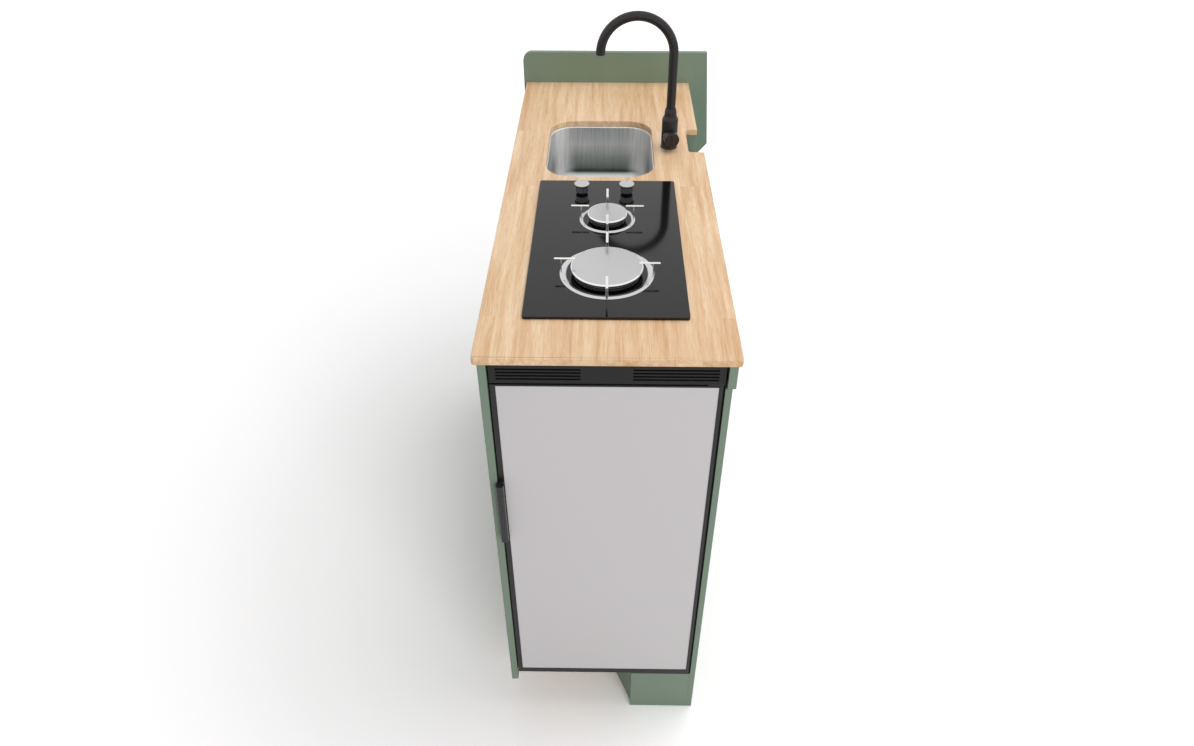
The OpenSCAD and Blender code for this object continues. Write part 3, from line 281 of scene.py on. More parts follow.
# %% Oak colour
def make_oak():
    """Lacquered light oak: pale, warm and satin, with dark pores that run along Y."""
    material, tree, shader, place = finish_of("lacquered_oak", "#E6C5A5", 0.42, Coat_Weight=0.12,
                                              Coat_Roughness=0.35)
    staves, stretched, grain = oak_grain(tree, place)
    # pores: dark dashes about 1 mm wide and 20 mm long
    pores = noise(tree, stretched, 900.0, 0.0)
    pore_mask = add(tree, "ShaderNodeMapRange", {"From Min": 0.62, "From Max": 0.72},
                    {"Value": pores})
    toned = add(tree, "ShaderNodeMath", {1: 0.1}, {0: staves.outputs["Color"]},
                operation="MULTIPLY")
    level = add(tree, "ShaderNodeMath", links={0: grain.outputs[0], 1: toned.outputs[0]},
                operation="ADD")
    tones = ramp(tree, level.outputs[0], (0.36, "#CFA272"), (0.72, "#F3D6B2"),
                 (0.53, "#E3BD94"))
    dark = add(tree, "ShaderNodeMix", {"B": linear("#C39A6E")}, {"A": tones}, data_type="RGBA")
    strength = add(tree, "ShaderNodeMath", {1: 0.35}, {0: pore_mask.outputs[0]},
                   operation="MULTIPLY")
    tree.links.new(strength.outputs[0], dark.inputs["Factor"])
    tree.links.new(dark.outputs["Result"], shader.inputs["Base Color"])
    raised(tree, shader, grain.outputs[0], 0.25, 0.0002)
    return material


oak = make_oak()
print("Finish:", oak.name)

# %% [markdown]
# ## Green laminate and plywood
# The carcass is plywood with a matt green melamine face. Melamine is pressed against a
# textured plate, which leaves a very fine pearl that only dulls the reflection. The inner
# boards stay plain birch plywood, whose veneer shows soft flame-like grain.

# %% Board finishes
def make_green_laminate():
    """Matt sage-green melamine with a pressed pearl of about 1 mm."""
    material, tree, shader, place = finish_of("green_melamine", "#788976", 0.55)
    cloud = noise(tree, place, 9.0, 3.0)
    tinted(tree, shader, cloud, "#758775", "#7B8D7B")
    pearl = noise(tree, place, 950.0, 2.0)
    ranged(tree, shader, pearl, 0.48, 0.62)
    raised(tree, shader, pearl, 0.3, 0.0001)
    return material


def make_plywood(name, pale, dark, across):
    """Birch veneer, its grain stretched along one axis."""
    material, tree, shader, place = finish_of(name, pale, 0.6)
    bent = noise(tree, stretch(tree, place, across), 5.0, 2.0)
    rings = add(tree, "ShaderNodeMath", {1: 14.0}, {0: bent}, operation="MULTIPLY")
    waves = add(tree, "ShaderNodeMath", links={0: rings.outputs[0]}, operation="SINE")
    tone = add(tree, "ShaderNodeMapRange", {"From Min": -1.0, "From Max": 1.0},
               {"Value": waves.outputs[0]})
    tinted(tree, shader, tone.outputs[0], pale, dark)
    return material


green = make_green_laminate()
plywood = make_plywood("birch_plywood", "#D9C09A", "#CBB088", (1.0, 1.0, 0.12))
drawer_ply = make_plywood("drawer_plywood", "#DCC8A6", "#CDB48C", (0.12, 1.0, 1.0))
print("Finishes:", green.name, plywood.name, drawer_ply.name)

# %% [markdown]
# ## Plastics, rubber and paint
# Injection-moulded plastic copies a spark-eroded mould, so it has a fine even grain; its
# index of refraction is about 1.5. Powder coat has orange peel: low soft waves about 2 mm
# wide. Both are one noise each, at the right scale, driving bump and a little roughness.

# %% Grained surfaces
def make_grained(name, colour, roughness, grain_mm, depth_mm):
    """A plain surface with an even fine grain, for mouldings and paint."""
    material, tree, shader, place = finish_of(name, colour, roughness)
    grain = noise(tree, place, 1000.0 / grain_mm, 1.0)
    raised(tree, shader, grain, 0.4, depth_mm * MM)
    ranged(tree, shader, grain, roughness - 0.05, roughness + 0.05)
    return material


# frame and fridge body: moulded, deep black with a soft sheen
black_plastic = make_grained("moulded_black_plastic", "#1C1C1D", 0.42, 1.2, 0.08)
# grille: a darker, matt copy of the moulded black, painted shade so that it reads as shade
grille_plastic = make_grained("shaded_grille_plastic", "#101011", 0.62, 1.2, 0.05)
# handle: smoother, with a sharper highlight
handle_plastic = make_grained("smooth_black_plastic", "#242425", 0.28, 3.0, 0.02)
# inside of the fridge: glossy, clean and even
white_plastic = make_grained("white_fridge_plastic", "#ECECEA", 0.3, 3.0, 0.03)
# trap: soft and a little waxy
pipe_plastic = make_grained("white_pipe_plastic", "#E6E6E2", 0.4, 2.0, 0.05)
# gasket: rubber hardly shines
seal_rubber = make_grained("grey_seal_rubber", "#5A5A5A", 0.65, 1.0, 0.05)
# door panel: a pale coat whose highlight the orange peel breaks up
door_paint = make_grained("silver_grey_powder_coat", "#CFCBCC", 0.4, 2.2, 0.03)
# tap: a satin coat with a soft long highlight
tap_paint = make_grained("satin_black_tap_coat", "#171415", 0.34, 2.0, 0.02)
# compressor and hinges: smooth glossy paint
steel_paint = make_grained("black_painted_steel", "#262626", 0.35, 2.0, 0.05)
print("Grained:", black_plastic.name, door_paint.name, tap_paint.name)

# %% [markdown]
# ## Metals
# A metal keeps the default index: its look is its colour, its roughness and the lines in it.
# So one function makes them all, from mirror to satin, and only the bowl, brushed upright
# and carrying painted shade low down and painted highlights in its corners, has a tree of its
# own.

# %% Brushed metal
def make_brushed(name, colour, roughness, depth_mm, line_mm=0.6, drawn=(1, 1, 1)):
    """Metal with lines line_mm wide, drawn out along the axis whose share is small."""
    material, tree, shader, place = finish_of(name, colour, roughness, 1.0)
    lines = noise(tree, stretch(tree, place, drawn), 1000.0 / line_mm, 2.0)
    ranged(tree, shader, lines, roughness - 0.07, roughness + 0.07)
    raised(tree, shader, lines, 0.3, depth_mm * MM)
    return material


# waste: one blurred highlight round its rim
waste_steel = make_brushed("turned_stainless_waste", "#CFD1D2", 0.2, 0.006)
print("Metal:", waste_steel.name)

# %% Bowl steel
def make_bowl_steel():
    """Bowl brushed upright, with painted shade low on the walls and painted highlights in
    corners.
    """
    material, tree, shader, place = finish_of("brushed_stainless_bowl", "#DADCDD", 0.2, 1.0)
    apart = add(tree, "ShaderNodeSeparateXYZ", links={"Vector": place})
    depth = add(tree, "ShaderNodeMapRange", {"From Min": 0.945, "From Max": 1.085},
                {"Value": apart.outputs["Z"]})
    # the tone along the height is painted light: painted shade in the dark band low on the
    # walls, a painted reflection in the white band above it
    wall = ramp(tree, depth.outputs[0], (0.0, "#F4F5F5"), (1.0, "#F4F5F5"), (0.04, "#F0F1F1"),
                (0.12, "#5A635E"), (0.4, "#ACB2AF"), (0.66, "#FFFFFF"))
    # painted highlight: the corners are mixed towards near-white
    painted_corner_highlight = add(tree, "ShaderNodeAttribute", attribute_name="painted_corner_highlight")
    corner = add(tree, "ShaderNodeMix", {"B": linear("#FAFAFA")},
                 {"A": wall, "Factor": painted_corner_highlight.outputs["Fac"]}, data_type="RGBA")
    # brush lines: 2 mm wide streaks and 0.6 mm lines, upright
    drawn = stretch(tree, place, (1.0, 1.0, 0.03))
    streaks = noise(tree, drawn, 420.0, 3.0)
    lines = noise(tree, drawn, 1600.0, 1.0)
    level = add(tree, "ShaderNodeMapRange", {"From Min": 0.3, "From Max": 0.7, "To Min": 0.74,
                "To Max": 1.0}, {"Value": streaks})
    tone = add(tree, "ShaderNodeMix", {"Factor": 1.0}, {"A": corner.outputs["Result"],
               "B": level.outputs[0]}, data_type="RGBA", blend_type="MULTIPLY")
    tree.links.new(tone.outputs["Result"], shader.inputs["Base Color"])
    ranged(tree, shader, lines, 0.24, 0.38)
    # the painted corner highlight also lowers Metallic there, so the corners' near-white colour
    # adds diffuse light
    ranged(tree, shader, painted_corner_highlight.outputs["Fac"], 1.0, 0.12, "Metallic")
    raised(tree, shader, lines, 0.3, 0.000006)
    return material


bowl_steel = make_bowl_steel()
print("Bowl finish:", bowl_steel.name)

# %% Other metals
# rings, plug and locks: buffed, so that it mirrors the room
polished_steel = make_brushed("polished_stainless", "#D3D4D5", 0.12, 0.005)
# caps' rims: a paler copy of the polished steel, a painted highlight that shows as a thin bright
# line
rim_highlight_steel = make_brushed("polished_rim_painted_highlight", "#F6F7F8", 0.1, 0.004)
# tray, clips and runners: dull blue-grey
zinc_steel = make_brushed("zinc_plated_steel", "#A9ADB1", 0.38, 0.02, 1.5, (1, 0.1, 1))
# caps and knob tops: one even pale grey
cap_metal = make_brushed("satin_aluminium_cap", "#C9C9C9", 0.3, 0.02, 1.0)
# burner heads: dark and glossy
burner_metal = make_brushed("cast_burner_metal", "#6E6E6F", 0.16, 0.02, 1.5)
# knob skirts: a smoky mirror
dark_chrome = make_brushed("dark_chromed_skirt", "#A3A3A6", 0.24, 0.03, 2.0, (1, 1, 0.04))
# pan fingers: steel made near-white and warm, a painted highlight so that they look pale from
# every side
finger_steel = make_brushed("satin_support_rod", "#F7F3EE", 0.3, 0.01)
# gas fittings and locknut: warm and soft
brass = make_brushed("machined_brass", "#C2A063", 0.3, 0.02, 0.8, (1, 1, 0.2))
print("Metals:", polished_steel.name, cap_metal.name, finger_steel.name)

# %% [markdown]
# ## Glass
# The hob is black glass: no light comes back from inside it, so all that shows is the
# reflection of the room, which is faint from above and strong at a low angle. The fridge's
# shelves are clear tempered glass, faintly green as all plain glass is.

# %% Glass
# hob: a faint dark mirror
hob_black = finish_of("black_hob_glass", "#080808", 0.085, IOR=1.44)[0]
# fridge shelves: clear and faintly green
shelf_clear = finish_of("clear_shelf_glass", "#E3F0EC", 0.02, IOR=1.52,
                        Transmission_Weight=0.92)[0]
# door bins: slightly cloudy
bin_clear = finish_of("clear_bin_plastic", "#DDE6E8", 0.12, IOR=1.49,
                      Transmission_Weight=0.75)[0]
print("Glass:", hob_black.name, shelf_clear.name)

# %% [markdown]
# ## Finishing a mesh
# Every piece ends the same way. Doubled points are merged and faces turned outwards, an
# optional bevel softens the edges, and weighted normals keep each large face flat next to
# its small bevels, so a mirror finish shows straight reflections. The result is a plain mesh
# that rides on its body and stands for its CAD node.

# %% Bodies
body_of_node = {node: body for body, nodes in frame["record"]["behaviour"]["bodies"].items()
                for node in nodes}


def settle(piece, *nodes):
    """Ties a piece to the body of the nodes it stands for, and hides those nodes."""
    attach(piece, body_of_node[nodes[0]])
    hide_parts(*nodes)
    return piece


# %% Finish a mesh
same_point = 0.000005  # metres: points nearer than this are one
flat_weight = 80  # how strongly a large face decides the normals next to it
sharp_deg = 32  # edges sharper than this are eased


def baked(piece):
    """Turns a piece with modifiers into a plain mesh of the same look."""
    evaluated = piece.evaluated_get(bpy.context.evaluated_depsgraph_get())
    mesh = bpy.data.meshes.new_from_object(evaluated)
    piece.modifiers.clear()
    piece.data = mesh
    return piece


def finished(name, shape, finishes, ease_mm=0.0, steps=2):
    """Makes a scene object from a bmesh, with eased edges and weighted normals."""
    bmesh.ops.remove_doubles(shape, verts=shape.verts, dist=same_point)
    bmesh.ops.recalc_face_normals(shape, faces=shape.faces)
    mesh = bpy.data.meshes.new(name)
    shape.to_mesh(mesh)
    shape.free()
    for finish in finishes:
        mesh.materials.append(finish)
    mesh.shade_smooth()
    piece = as_object(name, mesh)
    if ease_mm:
        bevel = piece.modifiers.new("eased_edges", "BEVEL")
        bevel.width = ease_mm * MM
        bevel.segments = steps
        bevel.limit_method = "ANGLE"
        bevel.angle_limit = math.radians(sharp_deg)
    weighted = piece.modifiers.new("flat_faces_stay_flat", "WEIGHTED_NORMAL")
    weighted.weight = flat_weight
    return baked(piece)


print("Points merged within", same_point / MM, "mm")

# %% Dress a CAD node
def node_shape(name):
    """A merged copy of a node's mesh, its flat triangles joined to faces."""
    shape = bmesh.new()
    shape.from_mesh(frame["nodes"][name].data)
    for face in shape.faces:
        face.material_index = 0
    bmesh.ops.remove_doubles(shape, verts=shape.verts, dist=2 * same_point)
    bmesh.ops.dissolve_limit(shape, angle_limit=math.radians(0.5), verts=shape.verts,
                             edges=shape.edges)
    return shape


def dress(nodes, finish, ease_mm, steps=2):
    """Finishes a copy of each named CAD node with eased edges."""
    for name in nodes.split():
        settle(finished(name + "_eased", node_shape(name), [finish], ease_mm, steps), name)
    return len(nodes.split())


boards = dress("side_board_aisle side_board_wall battens end_panel plinth_front "
               "plinth_return plinth_aisle sink_door drawer_front_upper drawer_front_lower",
               green, 0.8)
boards += dress("divider_fridge divider_drawers base_board", plywood, 0.5)
boards += dress("drawer_box_upper drawer_box_lower", drawer_ply, 0.8)
boards += dress("worktop", oak, 1.4, 3)
print("Boards:", boards)

# %% [markdown]
# ## Turning and sweeping
# Caps, knobs, taps and locks are turned parts: an outline spun about an axis. The outline is
# given in millimetres as (radius, height), and its corners are rounded first, because a
# turned edge is always broken with a file. A round tube is a circle swept along a path.

# %% Soft outline
cut_share = 0.45  # of a side at most, so that two soft corners never meet


def soften(outline, radius, steps=4):
    """Rounds the inner corners of an outline of 2D or 3D points."""
    points = [Vector(point) for point in outline]
    soft = [points[0]]
    for before, corner, after in zip(points, points[1:], points[2:]):
        back, ahead = before - corner, after - corner
        cut = min(radius, back.length * cut_share, ahead.length * cut_share)
        start, end = corner + back.normalized() * cut, corner + ahead.normalized() * cut
        for step in range(steps + 1):
            t = step / steps
            soft.append(start * (1 - t) ** 2 + corner * 2 * t * (1 - t) + end * t * t)
    soft.append(points[-1])
    return soft


print("Soft corner:", len(soften([(0, 0), (1, 0), (1, 1)], 0.3)), "points")

# %% Lathe
on_axis = 0.01  # mm: a ring smaller than this is one point


def around(steps):
    """The angles of evenly spaced points on a circle."""
    return [2 * math.pi * k / steps for k in range(steps)]


def turn(shape, outline, place, radius=0.5, steps=96, finish=0):
    """Spins a softened outline in mm about the local Z of the matrix place."""
    rings = []
    for r, z in soften(outline, radius):
        points = [Vector((r * math.cos(a), r * math.sin(a), z)) * MM
                  for a in (around(steps) if r >= on_axis else [0.0])]
        rings.append([shape.verts.new(place @ point) for point in points])
    for low, high in zip(rings, rings[1:]):
        for k in range(steps):
            after = (k + 1) % steps
            corners = [low[k % len(low)], low[after % len(low)],
                       high[after % len(high)], high[k % len(high)]]
            corners = list(dict.fromkeys(corners))
            if len(corners) > 2:
                shape.faces.new(corners).material_index = finish


print("Lathe:", turn.__doc__)

# %% Sweep and block
def sweep(shape, path, radius, steps):
    """Sweeps a closed tube along a path that lies in a plane of constant Y, in metres."""
    rings = []
    for k, point in enumerate(path):
        along = (path[min(k + 1, len(path) - 1)] - path[max(k - 1, 0)]).normalized()
        side = Vector((0, 1, 0))
        up = along.cross(side)
        rings.append([shape.verts.new(point + radius * (math.cos(a) * side + math.sin(a) * up))
                      for a in around(steps)])
    for low, high in zip(rings, rings[1:]):
        for k in range(steps):
            after = (k + 1) % steps
            shape.faces.new((low[k], low[after], high[after], high[k]))
    shape.faces.new(rings[0])
    shape.faces.new(list(reversed(rings[-1])))


def block(shape, low, high):
    """A six-sided solid between two corners in mm."""
    corners = [shape.verts.new(Vector((x, y, z)) * MM) for x in (low[0], high[0])
               for y in (low[1], high[1]) for z in (low[2], high[2])]
    for sides in ((0, 1, 3, 2), (4, 6, 7, 5), (0, 4, 5, 1), (2, 3, 7, 6), (0, 2, 6, 4),
                  (1, 5, 7, 3)):
        shape.faces.new([corners[i] for i in sides])


def middle(node):
    """The middle of a node's box in plan, and its lowest and highest height in mm."""
    low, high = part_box(node)
    return ((low[0] + high[0]) / 2, (low[1] + high[1]) / 2), low[2] / MM, high[2] / MM


def radius_of(node, axis=0):
    """Half the width of a round node's box, in mm."""
    low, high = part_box(node)
    return (high[axis] - low[axis]) / 2 / MM


print("Large cap:", round(radius_of("burner_cap_large"), 1), "mm")

# %% [markdown]
# ## Copies by Geometry Nodes
# Whatever repeats is made once and then set out by a Geometry Nodes tree: the teeth of a
# burner, the fingers of a pan support, the fins of the grille, the clip screws. It takes
# points, a piece to copy, a size and a finish; every point carries its own turn.

# %% The copying tree
def copying_tree():
    """Copies one piece onto points and makes the copies real."""
    tree = bpy.data.node_groups.new("copies_on_points", "GeometryNodeTree")
    for name, kind in (("Points", "Geometry"), ("Piece", "Object"), ("Size", "Float"),
                       ("Finish", "Material")):
        tree.interface.new_socket(name, in_out="INPUT", socket_type="NodeSocket" + kind)
    tree.interface.new_socket("Copies", in_out="OUTPUT", socket_type="NodeSocketGeometry")
    given = add(tree, "NodeGroupInput").outputs
    piece = add(tree, "GeometryNodeObjectInfo", links={"Object": given["Piece"]})
    turned_by = add(tree, "GeometryNodeInputNamedAttribute", {"Name": "turned_by"},
                    data_type="FLOAT_VECTOR")
    copies = add(tree, "GeometryNodeInstanceOnPoints",
                 links={"Points": given["Points"], "Instance": piece.outputs["Geometry"],
                        "Rotation": turned_by.outputs["Attribute"], "Scale": given["Size"]})
    real = add(tree, "GeometryNodeRealizeInstances", links={"Geometry": copies.outputs[0]})
    painted = add(tree, "GeometryNodeSetMaterial",
                  links={"Geometry": real.outputs[0], "Material": given["Finish"]})
    add(tree, "NodeGroupOutput", links={0: painted.outputs[0]})
    return tree


copies_on_points = copying_tree()
print("Copying tree:", len(copies_on_points.nodes), "nodes")

# %% Copies on places
def copied(name, source_shape, places, finish, node, ease_mm, size=1.0):
    """Copies a small shape onto places of (point, turns), as one piece."""
    source = finished(name + "_pattern", source_shape, [finish], ease_mm)
    points = bpy.data.meshes.new(name + "_points")
    points.from_pydata([place for place, _ in places], [], [])
    turns = points.attributes.new("turned_by", "FLOAT_VECTOR", "POINT")
    for k, (_, angles) in enumerate(places):
        turns.data[k].vector = angles
    piece = as_object(name, points)
    nodes = piece.modifiers.new("copies", "NODES")
    nodes.node_group = copies_on_points
    sockets = {item.name: item.identifier for item in copies_on_points.interface.items_tree
               if item.in_out == "INPUT"}
    nodes[sockets["Piece"]] = source
    nodes[sockets["Size"]] = size
    nodes[sockets["Finish"]] = finish
    baked(piece)
    piece.data.materials.clear()
    piece.data.materials.append(finish)
    bpy.data.objects.remove(source)
    return settle(piece, node)


def ring_places(centre, height_mm, radius_mm, count):
    """Places on a circle, each turned so that its local X points outwards."""
    x, y = centre
    r = radius_mm * MM
    return [(Vector((x + r * math.cos(a), y + r * math.sin(a), height_mm * MM)), (0.0, 0.0, a))
            for a in around(count)]


print("Places on a ring:", len(ring_places((0, 0), 0, 10, 8)))

# %% [markdown]
# ## Hob
# The glass lies on the worktop with a ground edge. Each burner has a cast head whose top is
# cut into teeth, so that the gas leaves between them, and a satin cap with a polished rim
# rests on them. Head and cap are turned; one tooth is made and copied round a circle.

# %% Glass and burners
hob = dress("hob_glass", hob_black, 0.7)
hob += dress("hob_tray", zinc_steel, 0.3)


def burner_head(name, teeth):
    """The turned head of one burner, and the teeth round its top."""
    node = "burner_" + name
    centre, base, top = middle(node)
    glass_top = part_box("hob_glass")[1][2] / MM
    cup_r, head_r = radius_of(node), radius_of("burner_cap_" + name) - 3.3
    tooth_h, tooth_depth, tooth_share = 4.0, 7.0, 0.32
    seat = top - tooth_h
    shape = bmesh.new()
    turn(shape, [(0, base), (cup_r, base), (cup_r, glass_top - 2),
                 (cup_r - 3, glass_top + 0.5), (head_r - 7, glass_top + 0.5),
                 (head_r - 6, top - 9), (head_r, top - 7.5), (head_r, seat),
                 (head_r - 7, seat - 0.6), (0, seat - 0.6)],
         Matrix.Translation((*centre, 0)), 0.8)
    settle(finished("burner_head_" + name, shape, [burner_metal]), node)
    half_w = 2 * math.pi * head_r / teeth * tooth_share
    tooth = bmesh.new()
    block(tooth, (-tooth_depth, -half_w, 0), (0, half_w, tooth_h))
    copied("burner_teeth_" + name, tooth, ring_places(centre, seat, head_r - 0.4, teeth),
           burner_metal, node, ease_mm=0.3)


def burner_cap(name):
    """The turned cap: a satin top, a polished rim with a painted highlight, and a plain
    underside.
    """
    node = "burner_cap_" + name
    (_, base, top), cap_r = middle(node), radius_of(node)
    rim_in, rim_low = (cap_r - 2.2, top), (cap_r - 0.1, top - 2.1)
    place = Matrix.Translation((*middle("burner_" + name)[0], 0))
    shape = bmesh.new()
    turn(shape, [(0, top), (cap_r * 0.5, top), rim_in], place)
    turn(shape, [rim_in, (cap_r - 0.9, top - 0.5), rim_low], place, 0.8, finish=1)
    turn(shape, [rim_low, (cap_r, base + 0.9), (cap_r - 0.7, base), (0, base)], place, 0.5)
    settle(finished("burner_cap_turned_" + name, shape, [cap_metal, rim_highlight_steel]), node)
    return round(cap_r, 1)


for size, teeth in (("large", 60), ("small", 36)):
    burner_head(size, teeth)
    print("Cap radius:", size, burner_cap(size))

# %% [markdown]
# ## Pan supports
# A pan stands on four satin rods, each on a leg that rises from a pressed ring on the glass.
# The ring is turned, and one finger is made and copied, as only its turn differs.

# %% Pan supports
def pan_support(name, ring_w, ends_w, over_cap, shifted):
    """A raised ring and four fingers; the one towards +X may be shifted."""
    node = "pan_support_" + name
    low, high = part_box(node)
    (x, y), _, _ = middle("burner_cap_" + name)
    base, top = low[2] / MM, high[2] / MM
    reach = (x - low[0]) / MM
    ring_r = reach - ends_w
    shape = bmesh.new()
    turn(shape, [(ring_r - ring_w, 1), (ring_r - ring_w, 0), (ring_r, 0), (ring_r, 0.9),
                 (ring_r - 2.6, 2.5), (ring_r - 5, 3.2), (ring_r - ring_w + 1.5, 2.2),
                 (ring_r - ring_w, 1)], Matrix.Translation((x, y, base * MM)), 0.9, 128)
    settle(finished(node + "_ring", shape, [polished_steel]), node)
    half_w, bar_t = 2.5, 2.0
    leg_low, leg_in, leg_out = 1.0, ring_r - 4, ring_r - 2
    inner = (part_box("burner_cap_" + name)[1][0] - x) / MM - over_cap
    finger = bmesh.new()
    block(finger, (inner, -half_w, top - bar_t - base), (reach, half_w, top - base))
    block(finger, (leg_in, -half_w, leg_low), (leg_out, half_w, top - bar_t / 2 - base))
    places = [(Vector((x, y - (shifted if k == 0 else 0) * MM, base * MM)),
               (0.0, 0.0, k * math.pi / 2)) for k in range(4)]
    copied(node + "_fingers", finger, places, finger_steel, node, ease_mm=0.95)
    return round(ring_r, 1)


print("Ring radii:", pan_support("large", ring_w=12.5, ends_w=10, over_cap=9.3, shifted=14),
      pan_support("small", ring_w=8, ends_w=17, over_cap=3.7, shifted=0))

# %% [markdown]
# ## Knobs
# A knob is a dark chromed skirt with a waist under a flat satin top, turned as one mesh with
# two finishes. Its pointer is a thin black bar let into the top.

# %% Knobs
def knob(side):
    """The turned knob and its pointer line."""
    node = "knob_" + side
    (x, y), base, top = middle(node)
    place = Matrix.Translation((x, y, 0))
    top_r = radius_of(node)
    side_r, edge = top_r - 2.9, (top_r, top - 0.9)
    shape = bmesh.new()
    turn(shape, [(3.3, base + 2), (3.3, base), (side_r - 1, base), (side_r, base + 1.2),
                 (side_r - 0.3, top - 6), (side_r + 0.5, top - 4.6), (top_r - 0.2, top - 3.4),
                 (top_r, top - 2.6), edge], place, 0.6, finish=1)
    turn(shape, [edge, (top_r - 0.3, top - 0.3), (top_r - 1, top),
                 (top_r * 0.5, top - 0.1), (0, top - 0.1)], place, 0.2)
    settle(finished(node + "_turned", shape, [cap_metal, dark_chrome]), node)
    half_w, line_in, line_out = 0.5, top_r - 7, top_r - 1.4
    line = bmesh.new()
    block(line, (x / MM - half_w, y / MM + line_in, top - 0.6),
          (x / MM + half_w, y / MM + line_out, top + 0.02))
    settle(finished(node + "_pointer", line, [black_plastic], 0.2), node)
    return round(top_r, 1)


print("Knob radii:", knob("left"), knob("right"))
hob += dress("gas_manifold valve_plug_left valve_plug_right", brass, 0.4)
hob += dress("valve_stem_left valve_stem_right", zinc_steel, 0.3)
print("Other hob parts:", hob)

# %% [markdown]
# ## Sink
# A pressed bowl hangs under the cut-out by its flange. Steel can't turn a sharp corner, so
# the lip rolls over into the wall and the wall runs into the floor in one fillet. The bowl is
# a stack of rounded rectangles, each a step further along that section.

# %% Bowl section
corner_steps, lip_steps, fillet_steps = 14, 6, 9
sheet_t, flange_w, lip_r, fillet_r, corner_r = 1.5, 16.5, 3.0, 26.0, 59.5
drain_r, hole_r = 34.0, 22.5
bowl_low, bowl_high = (Vector(corner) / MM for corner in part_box("sink_bowl"))
bowl_x0, bowl_x1 = bowl_low.x + flange_w, bowl_high.x - flange_w
bowl_y0, bowl_y1 = bowl_low.y + flange_w, bowl_high.y - flange_w


def rounded_loop(grow, z):
    """The bowl's outline grown by so many mm, always with as many points."""
    near_x, far_x = bowl_x0 + corner_r, bowl_x1 - corner_r
    near_y, far_y = bowl_y0 + corner_r, bowl_y1 - corner_r
    r = corner_r + grow
    loop = []
    for x, y, first in ((far_x, far_y, 0), (near_x, far_y, 90), (near_x, near_y, 180),
                        (far_x, near_y, 270)):
        for k in range(corner_steps + 1):
            a = math.radians(first + 90 * k / corner_steps)
            loop.append((x + r * math.cos(a), y + r * math.sin(a), z))
    return loop


def towards_drain(loop, share, radius, z):
    """A loop moved a share of the way to a circle round the bowl's middle."""
    x, y = (bowl_x0 + bowl_x1) / 2, (bowl_y0 + bowl_y1) / 2
    ring = []
    for px, py, _ in loop:
        away = Vector((px - x, py - y))
        spot = away.lerp(away.normalized() * radius, share)
        ring.append((x + spot.x, y + spot.y, z))
    return ring


print("Bowl inside:", round(bowl_x1 - bowl_x0, 1), "x", round(bowl_y1 - bowl_y0, 1), "mm")

# %% Bowl
def bowl_skin(out):
    """Loops from the flange to the drain; out moves the skin outwards and down."""
    top, floor = bowl_high.z, bowl_low.z + sheet_t
    loops = [rounded_loop(flange_w, top - out)]
    for k in range(lip_steps + 1):
        a = math.radians(90 * k / lip_steps)
        loops.append(rounded_loop(lip_r * (1 - math.sin(a)) + out,
                                  top - out - lip_r * (1 - math.cos(a))))
    for k in range(fillet_steps + 1):
        a = math.radians(90 * k / fillet_steps)
        loops.append(rounded_loop(out * math.cos(a) - fillet_r * (1 - math.cos(a)),
                                  floor + fillet_r * (1 - math.sin(a)) - out * math.sin(a)))
    floor_edge = loops[-2]
    for share in (0.35, 0.7):
        loops.append(towards_drain(floor_edge, share, drain_r, floor - out))
    for radius in (drain_r, hole_r):
        loops.append(towards_drain(loops[-1], 1.0, radius, floor - out))
    return loops


def bowl():
    """Both skins of the bowl, joined at the flange's edge and at the drain."""
    shape = bmesh.new()
    stack = bowl_skin(0.0) + list(reversed(bowl_skin(sheet_t)))
    painted_corner_highlight = shape.verts.layers.float.new("painted_corner_highlight")
    rows = [[shape.verts.new(Vector(point) * MM) for point in loop] for loop in stack]
    # painted highlight from the lip to the floor, strongest in the middle of each corner
    for row in rows[1:lip_steps + fillet_steps + 3]:
        for k, vert in enumerate(row):
            vert[painted_corner_highlight] = math.sin(math.pi * (k % (corner_steps + 1)) / corner_steps) ** 1.5
    rows.append(rows[0])
    for a, b in zip(rows, rows[1:]):
        for k in range(len(a)):
            after = (k + 1) % len(a)
            shape.faces.new((a[k], a[after], b[after], b[k]))
    return settle(finished("sink_bowl_pressed", shape, [bowl_steel]), "sink_bowl")


print("Bowl faces:", len(bowl().data.polygons))

# %% [markdown]
# ## Waste and plug
# The waste is a turned cup clamped round the drain. Spokes across its neck, one thin bar
# copied round, hold back what would block the trap.

# %% Waste, plug and trap
def waste(neck_r=19, spokes=8):
    """The turned strainer cup and its spokes."""
    (x, y), _, rim = middle("sink_waste")
    floor = rim - 3
    shape = bmesh.new()
    turn(shape, [(neck_r, floor - 45), (22, floor - 45), (22, floor - 10.5), (30, floor - 10.5),
                 (30, floor - 1.5), (22, floor - 1.5), (22, floor), (35, floor), (34, rim - 0.6),
                 (32.5, rim), (31, rim - 0.2), (30.5, rim - 1.5), (24, rim - 1.9),
                 (20, rim - 3.5), (neck_r, rim - 8), (neck_r, floor - 45)],
         Matrix.Translation((x, y, 0)), 0.7)
    settle(finished("sink_waste_turned", shape, [waste_steel]), "sink_waste")
    spoke = bmesh.new()
    block(spoke, (-18.5, -1, -1), (0, 1, 1))
    copied("sink_strainer_spokes", spoke, ring_places((x, y), floor - 14, neck_r + 0.3, spokes),
           waste_steel, "sink_waste", ease_mm=0.3)
    return round(rim, 1)


